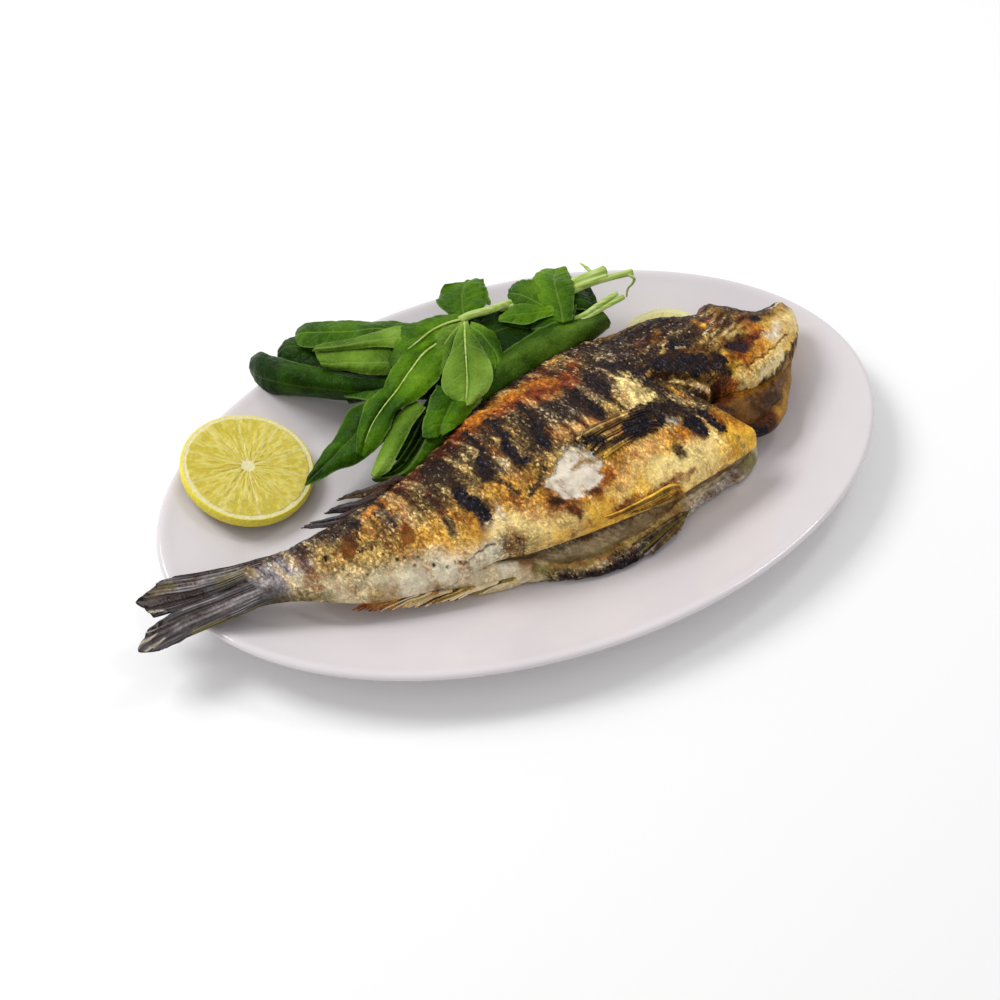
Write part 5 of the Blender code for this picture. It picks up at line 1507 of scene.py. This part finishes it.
    "long_ribbed": {"tone": 0.4, "crinkle": 1.2, "ruffle": 1.0, "wave": 5.2, "teeth": 0.025,
        "spacing": 8, "veined": 0.15, "lines": [
        [-16.8, 65.1, 42, -33, 62.2, 41.5, -43.4, 54.7, 41, -51.2, 47.5, 40, -59.3, 41.8, 38.5,
         -66.7, 35.6, 36, -71.4, 27.3, 34, -72.3, 21.8, 32],
        [-15.2, 61.6, 44.5, -30.1, 58.1, 44, -40.1, 50.5, 43.5, -48.9, 43.2, 42.5, -57.4, 36.4, 41,
         -65.4, 29.9, 38.5, -70.7, 24.1, 35.5, -72.1, 20.4, 32],
        [-12.5, 60.9, 44, -26.5, 56.2, 43.6, -35.8, 49.1, 43, -45.9, 41, 42, -55.9, 34.2, 40.5,
         -63.7, 28.3, 38, -68.9, 23.2, 35, -71.9, 19, 32],
        [-11.8, 56.8, 45.5, -23, 49, 45.5, -32.6, 41.4, 45, -42.6, 34.7, 44, -52.4, 29.7, 42,
         -61.4, 24.3, 39, -67.5, 20.1, 35.5, -71.5, 18.2, 32],
        [-10.8, 53.2, 44.5, -20.1, 44.3, 43.5, -28, 37.2, 42.5, -41.1, 31.7, 41, -50.6, 29.7, 40,
         -58.4, 23.6, 37, -65.2, 19, 33.5, -70.9, 18.1, 31.5]]},
    "long_tip": {"tone": 0.34, "crinkle": 0.5, "ruffle": 0.6, "spacing": 8, "veined": 0.08,
        "lines": [
        [-44.2, 50.1, 34, -57.3, 48, 33, -66.2, 47.8, 31.5, -72.9, 43.2, 30, -79.9, 36.4, 28,
         -89.2, 29.7, 26, -96.2, 24.3, 24.5],
        [-45.6, 42.5, 36.5, -57.9, 41, 35.5, -67.3, 39.3, 34, -73.9, 35, 32, -81.7, 29.9, 30,
         -90.6, 25.3, 27.5, -97.8, 21.8, 24.8],
        [-45.7, 40.1, 35, -57.6, 37, 34, -67.3, 33.3, 32.7, -75, 29.8, 31, -82.6, 26.4, 29,
         -91.3, 23.1, 26.8, -98.7, 20.7, 24.4],
        [-46.8, 35, 34.5, -57.6, 29.9, 33, -67.4, 25.9, 31.5, -75.5, 23.6, 30, -83, 23, 28,
         -91.3, 21.3, 26, -99.1, 20.2, 24.2],
        [-47, 32.5, 31, -56.2, 26.7, 29, -66.7, 22.3, 27.5, -76.1, 20.2, 26, -83.5, 20.8, 25.5,
         -91.7, 19.4, 24.8, -98.9, 19.7, 23.8]]},
    "olive_fold": {"tone": 0.32, "under": True, "crinkle": 0.2, "rib": 0.02, "lines": [
        [-40, 35.7, 38, -48.5, 31.5, 38, -56.6, 24.1, 37, -62.7, 17.9, 35.5, -68.4, 12.1, 33.5,
         -72.4, 7.4, 32],
        [-39.5, 29.7, 41, -48.4, 24.3, 41, -55.7, 17, 39.8, -61.9, 11.2, 38, -67.4, 7.2, 35.5,
         -71.9, 4.9, 32.7],
        [-37.7, 27.2, 40, -46.1, 20.8, 39.5, -53.1, 14.3, 38, -59.8, 8.4, 36, -64.5, 4.6, 33.5,
         -69.2, 4.3, 32]]},
    "roll_inside": {"tone": 0.05, "crinkle": 0.2, "lines": [
        [-34.8, 32.1, 36, -44.4, 22, 35, -53.1, 13.6, 33.5, -60.9, 8.7, 31.5, -67.5, 7.9, 29.5,
         -71.8, 7.7, 29],
        [-29.4, 31.4, 31, -41.1, 20.9, 30, -50.9, 13.6, 28.5, -59, 9.2, 27.5, -66.9, 8.4, 27,
         -71.5, 8.8, 27],
        [-27.6, 24.7, 40, -38.6, 16.8, 39.5, -44.9, 11, 38.3, -50.6, 6.1, 36, -56.6, 2.8, 33,
         -62.3, 2.8, 31, -67.1, 5.3, 29.5, -71.8, 7.7, 28.7]]},
    "roll_outside": {"tone": 0.18, "under": True, "crinkle": 0.25, "rib": 0.95, "lines": [
        [-27.7, 24.3, 40.4, -38.8, 16.5, 39.9, -45, 10.7, 38.7, -50.7, 5.8, 36.4, -56.7, 2.5, 33.4,
         -62.4, 2.5, 31.4, -67.2, 4.9, 29.9, -71.9, 7.4, 29.1],
        [-22.8, 21, 39.5, -33.5, 14.2, 38.5, -42.2, 7.5, 36.7, -49.6, 3.5, 33.7, -57.3, 1.4, 30.5,
         -64.1, 3.4, 28.7, -71.9, 7.5, 28],
        [-17.3, 21.5, 36, -29, 14.9, 34.5, -38.6, 9.4, 32.5, -46.7, 6.4, 30, -56.4, 1.6, 27.5,
         -63.4, 3.1, 26.5, -70.2, 7.3, 26],
        [-13.5, 29.4, 28, -25.5, 22.2, 27, -35.6, 15.8, 26, -44.1, 12, 25, -54.3, 7.1, 24,
         -61.5, 8.3, 23.5, -67.9, 11.2, 23.5]]},
    "creased": {"tone": 0.44, "crinkle": 1.1, "ruffle": 0.6, "spacing": 9, "veined": 0.15,
        "lines": [
        [-28.7, 36.8, 42.5, -35, 28.8, 42.5, -40.1, 22.2, 42, -44, 16.4, 41, -45.5, 11.7, 39.5],
        [-26.1, 31.3, 44, -31.9, 24.5, 44, -37, 18, 43.5, -41.1, 12.3, 42.5, -42.9, 8.9, 40.5],
        [-22, 27.3, 43.5, -27.6, 22.2, 43, -32.7, 17, 42.5, -36.5, 12, 42, -38.9, 8.1, 40.5],
        [-18.2, 22.5, 43.8, -23.2, 18.8, 43.8, -27.2, 15.1, 43.3, -30.5, 12.1, 42.5,
         -33.2, 9.2, 41],
        [-13.1, 21, 40.5, -16.4, 19.1, 40.5, -19.5, 16.5, 40.5, -22.4, 14.3, 40,
         -24.8, 13.2, 39.5]]},
    "along_back": {"tone": 0.02, "under": True, "crinkle": 0.5, "veined": 0.05, "rib": 0.8,
        "lines": [
        [-5.7, 33.3, 40, 7.8, 44.4, 41, 17.5, 46.8, 42, 29.3, 50.3, 42.5, 39.8, 50.6, 42,
         52.2, 50.3, 40, 64, 53.5, 36.5],
        [-10, 25.7, 42.5, 4.3, 35.6, 44, 14.6, 38.3, 45, 26, 41.2, 45.5, 37.3, 42.4, 45,
         50, 44.1, 43, 63.4, 48.4, 38.5],
        [-12.3, 22.8, 41, 0.5, 29.4, 42.3, 13.4, 33.6, 43.3, 25, 35.8, 43.7, 36.8, 38.1, 43.3,
         49.7, 41.1, 41.3, 64.1, 46.9, 37],
        [-12.9, 22.5, 37, -2.5, 25, 38, 12.4, 30.1, 38, 25.5, 33.3, 38, 37.3, 35.5, 37,
         49.5, 40.2, 35, 65.8, 48.1, 32],
        [-9.2, 28.8, 30, 1.4, 31.3, 31, 16.2, 35.9, 31, 29.5, 39.2, 31, 41.5, 41.4, 30,
         52.6, 44.8, 29, 66, 50.3, 28]]},
    "small_back": {"tone": 0.1, "crinkle": 0.6, "ruffle": 0.5, "veined": 0.06, "lines": [
        [53.9, 70.9, 38.5, 58.5, 70.6, 39, 62.3, 68.5, 38, 64.7, 64.4, 36],
        [50.2, 63.5, 41, 54.6, 61.7, 41.5, 58.4, 59.7, 40.5, 62.8, 58.7, 37],
        [48.2, 59.2, 39, 52.7, 56.6, 39.5, 56.8, 55.2, 38.5, 61.2, 55.3, 36]]},
}
# each stem: its half widths from foot to tip, and its line
stems = {
    "main": {"width": [2.0, 2.2, 2.4],
        "line": [-3.8, 67.1, 46, 1.6, 68, 46, 10.3, 69.1, 44.5, 19.6, 71.6, 42, 35.6, 74.7, 39,
                 47.9, 72.9, 41, 60.8, 72.3, 42.5, 74.6, 73.2, 43]},
    "second": {"width": [1.7, 1.9, 2.2],
        "line": [18.3, 71.1, 41, 34, 71.2, 40, 49, 69.7, 41, 61.9, 69.2, 42, 73.7, 70.3, 41.5]},
    "third": {"width": [1.3, 1.5, 1.9],
        "line": [28.4, 70.5, 39.5, 47.9, 67.4, 40.5, 64.4, 68.7, 41.5, 76.5, 69.3, 41,
                 87.1, 69, 40.5]},
    "low": {"width": [1.2, 1.3, 1.5],
        "line": [33.8, 54.3, 40.5, 41.2, 51.3, 41.5, 49.8, 50.9, 41, 61.7, 55.6, 39.5,
                 74.6, 61, 38]},
    "low_two": {"width": [1.2, 1.3, 1.5],
        "line": [39.6, 50, 40, 50.7, 49.4, 40, 64.4, 54.6, 38, 77.1, 58.4, 37]},
    "curl": {"width": [0.9, 0.7, 0.4],
        "line": [82.9, 69.2, 41, 85.1, 67.2, 40.5, 86.5, 65.5, 39.5, 85.9, 65.5, 36.5,
                 84.2, 66.5, 33, 82.4, 64.2, 30]},
    "shoot": {"width": [0.8, 0.9, 0.3],
        "line": [67.5, 70.9, 43, 67.2, 74.1, 44, 66.1, 77.9, 44.5, 65.2, 81.8, 44]},
    "rib_long": {"width": [0.6, 0.45, 0.2],
        "line": [-12.7, 60.6, 44.4, -26.6, 55.8, 44, -35.9, 48.8, 43.4, -46.1, 40.6, 42.4,
                 -56, 33.9, 40.9, -63.8, 27.9, 38.4, -68.8, 22.8, 35.3]},
    "rib_inner": {"width": [0.8, 0.5, 0.2],
        "line": [-2.7, 67.3, 46, -11.2, 67.5, 46, -18.7, 66.3, 45.6, -27.1, 63, 44.8,
                 -32.2, 61.4, 43.8]},
    "rib_middle": {"width": [0.65, 0.35, 0.2],
        "line": [-2.8, 64.2, 46.8, -7.4, 52.9, 47.2, -11.8, 41.6, 47.7, -15.3, 32.5, 47.3,
                 -18.4, 25.4, 46.3, -21, 20.5, 45]},
}


def leafSheet(own, number):
    # a thin sheet through lines that run from the leaf's foot to its tip: the lines are put at even
    # steps, and a cubic joins them across. It is puckered between its side veins,
    # pressed in along them, waved at its margins, and given its thickness on both sides
    own, rows, columns, between = {**leafUsual, **own}, salad["rows"], salad["columns"], 96
    lines = np.stack([pathThrough(np.reshape(line, (-1, 3)), rows) for line in own["lines"]])
    fine = curveThrough(np.linspace(0, 1, len(lines)), lines.reshape(len(lines), -1))
    fine = fine(np.linspace(0, 1, between + 1)).reshape(between + 1, rows, 3).transpose(1, 0, 2)
    # toothed margins: each row is a little narrower by chance
    s = np.linspace(0, 1, rows)
    cut = [own["teeth"] * 2 * (0.5 + lumps(np.stack([s * 11, 0 * s + k], -1), 1, 200 + number, 3))
           for k in (1, 2)]
    even = np.r_[0, np.linspace(0.006, 0.994, columns - 2), 1]
    t = cut[0][:, None] + even * (1 - cut[0] - cut[1])[:, None]
    at = np.clip(t, 0, 1)[..., None] * between
    low = np.minimum(at.astype(int), between - 1)
    grid = (np.take_along_axis(fine, low, 1) * (1 - at + low)
            + np.take_along_axis(fine, low + 1, 1) * (at - low))
    # places on the leaf in mm: along its rib, and across from it
    middle = int(own["rib"] * (columns - 1))
    along = np.r_[0, np.cumsum(np.linalg.norm(np.diff(grid[:, middle], axis=0), axis=1))][:, None]
    across = np.cumsum(np.linalg.norm(np.diff(grid, axis=1, prepend=grid[:, :1]), axis=2), axis=1)
    across -= across[:, middle:middle + 1]
    sign, off = np.sign(across), np.abs(across)
    share = np.clip(off / np.maximum(off.max(axis=1, keepdims=True), 1), 0, 1)
    phase = (along - 0.85 * off + lumps(grid, 11, 220 + number, 3) * 5) / own["spacing"]
    toVein = np.abs(phase - np.round(phase)) * own["spacing"]
    lift = own["crinkle"] * 0.4 * (ramp(toVein, 0, 1.7) - 0.5) * ramp(off, 0.3, 2.5)
    lift -= own["crinkle"] * 0.8 * (1 - ramp(off, 0, 1.3))
    lift += own["crinkle"] * (1.7 * lumps(grid, 9, 240 + number, 3)
                              + 0.4 * lumps(grid, 3, 245 + number, 2))
    wave = np.sin(along / own["wave"] + 1.7 * sign + 3 * lumps(grid, 18, 250 + number, 1))
    lift += own["ruffle"] * share ** 2 * wave
    normal = normalsOf(grid)
    normal *= np.sign(normal[rows // 2, columns // 2, 2])
    grid = grid + normal * lift[..., None]
    half = salad["thick"] / 2 * (1 + 0.9 * (1 - ramp(off, 0, 1.0)) * (1 - s[:, None]))[..., None]
    ring = np.concatenate([grid + normal * half, (grid - normal * half)[:, ::-1]], 1)
    # layers: tone, underside, margin and how far the veins show; and the places among the veins
    margin = ramp(np.minimum(across - across[:, :1], across[:, -1:] - across), 0.9, 0.2)
    tone = np.clip(own["tone"] + 0.5 * lumps(grid, 20, 260 + number, 2), 0, 1)
    flat = np.ones(tone.shape)
    top = np.stack([tone, flat * own["under"], margin, flat * own["veined"]], -1)
    back = np.stack([tone, 1 - flat * own["under"], margin, flat * own["veined"]], -1)
    veins = np.stack([phase * own["spacing"], off, flat * own["spacing"]], -1)
    return layOnPlate(ring, 0.25), {"leaf": np.concatenate([top, back[:, ::-1]], 1),
                                    "vein": np.concatenate([veins, veins[:, ::-1]], 1)}


def roundStem(line, widths, count=46, around=14):
    # a stem a little flattened and ribbed, its half width read along it
    half = np.interp(np.linspace(0, 1, count), np.linspace(0, 1, len(widths)), widths)
    path = pathThrough(np.reshape(line, (-1, 3)), count)
    return ringsAlong(path, half, around, tall=0.85, ribbed=0.07)


def leafMaterial():
    # rocket: a thin waxy leaf, dark green and half glossy above with paler sunk veins, duller and
    # greyer green below with raised ones; its thin margins look paler
    material, tree, shader = newMaterial("rocket leaf", IOR=1.42, Specular_IOR_Level=0.1)
    leaf = addNode(tree, "Attribute", attribute_name="leaf")
    part = addNode(tree, "SeparateColor", {"Color": leaf})
    vein = addNode(tree, "Attribute", attribute_name="vein").outputs["Vector"]
    run = addNode(tree, "SeparateXYZ", {"Vector": vein})
    place = addNode(tree, "TexCoord").outputs["Object"]
    # mottling 14 mm across, cells 0.9 mm
    cloud = addNode(tree, "TexNoise", {"Vector": place, "Scale": 70.0, "Detail": 5.0,
                                       "Roughness": 0.55})
    cells = addNode(tree, "TexNoise", {"Vector": place, "Scale": 1100.0, "Detail": 2.0})
    tone = addNode(tree, "MapRange", {"Value": cloud, "From Min": 0.3, "From Max": 0.7,
                                      "To Min": -0.17, "To Max": 0.15})
    tone = addNode(tree, "Math", {0: tone, 1: part.outputs["Red"]}, operation="ADD")
    fine = addNode(tree, "MapRange", {"Value": cells, "From Min": 0.3, "From Max": 0.7,
                                      "To Min": -0.06, "To Max": 0.06})
    tone = addNode(tree, "Math", {0: tone, 1: fine}, operation="ADD")
    above = addNode(tree, "ValToRGB", {"Fac": tone},
                    [(0.0, "#142e00"), (1.0, "#8ab032"), (0.3, "#305600"), (0.6, "#567f06")])
    below = addNode(tree, "ValToRGB", {"Fac": tone},
                    [(0.0, "#2c4804"), (1.0, "#a4be5c"), (0.5, "#6b8e28")])
    blade = addNode(tree, "Mix", {0: part.outputs["Green"], 6: above, 7: below}, data_type="RGBA")
    # side veins: distance in mm to the nearest whole step along the rib
    step = addNode(tree, "Math", {0: run.outputs["X"], 1: run.outputs["Z"]}, operation="DIVIDE")
    step = addNode(tree, "Math", {0: step, 1: 0.5}, operation="PINGPONG")
    step = addNode(tree, "Math", {0: step, 1: run.outputs["Z"]}, operation="MULTIPLY")
    side = addNode(tree, "MapRange", {"Value": step, "From Min": 0.35, "From Max": 0.05,
                                      "To Max": 0.45})
    veined = leaf.outputs["Alpha"]
    side = addNode(tree, "Math", {0: side, 1: veined}, operation="MULTIPLY")
    rib = addNode(tree, "MapRange", {"Value": run.outputs["Y"], "From Min": 0.6, "From Max": 0.2,
                                     "To Max": 0.45})
    shown = addNode(tree, "MapRange", {"Value": veined, "To Min": 0.1, "To Max": 1.5})
    rib = addNode(tree, "Math", {0: rib, 1: shown}, operation="MULTIPLY")
    lines = addNode(tree, "Math", {0: side, 1: rib}, operation="MAXIMUM")
    ribbed = addNode(tree, "Mix", {0: lines, 6: blade, 7: hexToLinear("#9cb85a")}, data_type="RGBA")
    rim = addNode(tree, "Math", {0: part.outputs["Blue"], 1: 0.25}, operation="MULTIPLY")
    whole = addNode(tree, "Mix", {0: rim, 6: ribbed, 7: hexToLinear("#9cb964")}, data_type="RGBA")
    waxy = addNode(tree, "MapRange", {"Value": cloud, "To Min": 0.2, "To Max": 0.42})
    height = addNode(tree, "Math", {0: cells, 1: lines}, operation="SUBTRACT")
    puckers = addNode(tree, "TexNoise", {"Vector": place, "Scale": 300.0, "Detail": 3.0})
    height = addNode(tree, "Math", {0: puckers, 1: 3.0, 2: height}, operation="MULTIPLY_ADD")
    bump = addNode(tree, "Bump", {"Height": height, "Strength": 0.6, "Distance": 0.00065})
    setSockets(tree, shader, {"Base Color": whole, "Roughness": waxy, "Normal": bump})
    return material


def stemMaterial():
    # fresh stems: pale juicy green, streaked along their length, with a soft shine
    material, tree, shader = newMaterial("rocket stem", Roughness=0.35, IOR=1.42,
                                         Specular_IOR_Level=0.3, Subsurface_Weight=0.1,
                                         Subsurface_Scale=0.002)
    place = addNode(tree, "TexCoord").outputs["Object"]
    drawn = addNode(tree, "Mapping", {"Vector": place, "Rotation": (0, 0, -0.35),
                                      "Scale": (90.0, 900.0, 900.0)})
    streak = addNode(tree, "TexNoise", {"Vector": drawn, "Scale": 1.0, "Detail": 3.0})
    tone = addNode(tree, "ValToRGB", {"Fac": streak},
                   [(0.3, "#86a63a"), (0.7, "#ccd894"), (0.5, "#aec565")])
    bump = addNode(tree, "Bump", {"Height": streak, "Strength": 0.3, "Distance": 0.0003})
    setSockets(tree, shader, {"Base Color": tone, "Normal": bump})
    return material


def makeSalad():
    # the leaves, the stems and the hidden inside of the bunch, painted dark as shade, a piece each
    leafSkin = leafMaterial()
    tubes = [leafSheet(own, number) for number, own in enumerate(leaves.values())]
    tubes = [(platePlace(ring), layers) for ring, layers in tubes]
    addTubes("rocket_leaves", tubes, leafSkin, ["rocket_bunch"])
    tubes = [(platePlace(roundStem(own["line"], own["width"])), {}) for own in stems.values()]
    addTubes("rocket_stems", tubes, stemMaterial())
    # the bunch's crumpled inside: a lumpy roll, all of it below the leaves that show, given the
    # darkest leaf tone as painted shade in the gaps between them
    ring = roundStem(salad["core"], salad["coreWidths"], 90, 60)
    ring = ring + outward(ring) * (lumps(ring, 11, 290, 3) * 5)[..., None]
    layers = {"leaf": np.zeros((*ring.shape[:2], 4)), "vein": np.zeros(ring.shape) + (3, 9, 6)}
    ring = platePlace(layOnPlate(ring, 0.3))
    addTubes("rocket_core_shade", [(ring, layers)], leafSkin)


makeSalad()
print("rocket made")


# floor, light and camera

studio = {
    "floor": 3.0, "paper": "#fbfbfb", "room": 0.62,
    # square soft boxes: place from the plate's foot, size and power
    "lights": {"key": ((-0.55, 0.62, 1.0), 0.55, 9.0), "glint": ((0.62, 0.2, 0.95), 0.2, 1.5)},
    # camera: turn and rise in degrees, metres to the aim, and the aim in mm from the plate's middle
    "view": (-24.24226, 50.0), "distance": 0.73, "aim": (-15.7756, -4.6147, 0.0),
    "lens": 57.4816, "sensor": 36.0,
}


def aimed(name, data, place, direction):
    # a light or a camera put in its place and turned along a direction
    thing = bpy.data.objects.new(name, data)
    thing.location = place
    thing.rotation_euler = direction.to_track_quat("-Z", "Y").to_euler()
    scene.collection.objects.link(thing)
    return thing


def makeStudio():
    # a white floor in an even bright room, two soft boxes and the camera, which looks from
    # (sin turn cos rise, -cos turn cos rise, sin rise) * distance off its aim
    far = studio["floor"]
    mesh = bpy.data.meshes.new("floor")
    mesh.from_pydata([(-far, -far, 0), (far, -far, 0), (far, far, 0), (-far, far, 0)], [],
                     [(0, 1, 2, 3)])
    paper, _, _ = newMaterial("matt white paper", Roughness=0.9,
                              Base_Color=hexToLinear(studio["paper"]))
    mesh.materials.append(paper)
    floor = bpy.data.objects.new("floor", mesh)
    scene.collection.objects.link(floor)
    world = bpy.data.worlds.new("soft room")
    world.use_nodes = True
    background = world.node_tree.nodes["Background"]
    background.inputs["Color"].default_value = (1, 1, 1, 1)
    background.inputs["Strength"].default_value = studio["room"]
    scene.world = world
    aim = Vector((plateMiddle + np.array(studio["aim"])) * mm)
    for name, (place, size, power) in studio["lights"].items():
        data = bpy.data.lights.new(name, "AREA")
        data.size, data.energy = size, power
        aimed(name, data, place, aim - Vector(place))
    turn, rise = (math.radians(angle) for angle in studio["view"])
    back = Vector((math.sin(turn) * math.cos(rise), -math.cos(turn) * math.cos(rise),
                   math.sin(rise)))
    data = bpy.data.cameras.new("camera")
    data.lens, data.sensor_width = studio["lens"], studio["sensor"]
    scene.camera = aimed("camera", data, aim + back * studio["distance"], -back)


makeStudio()
print("studio made")
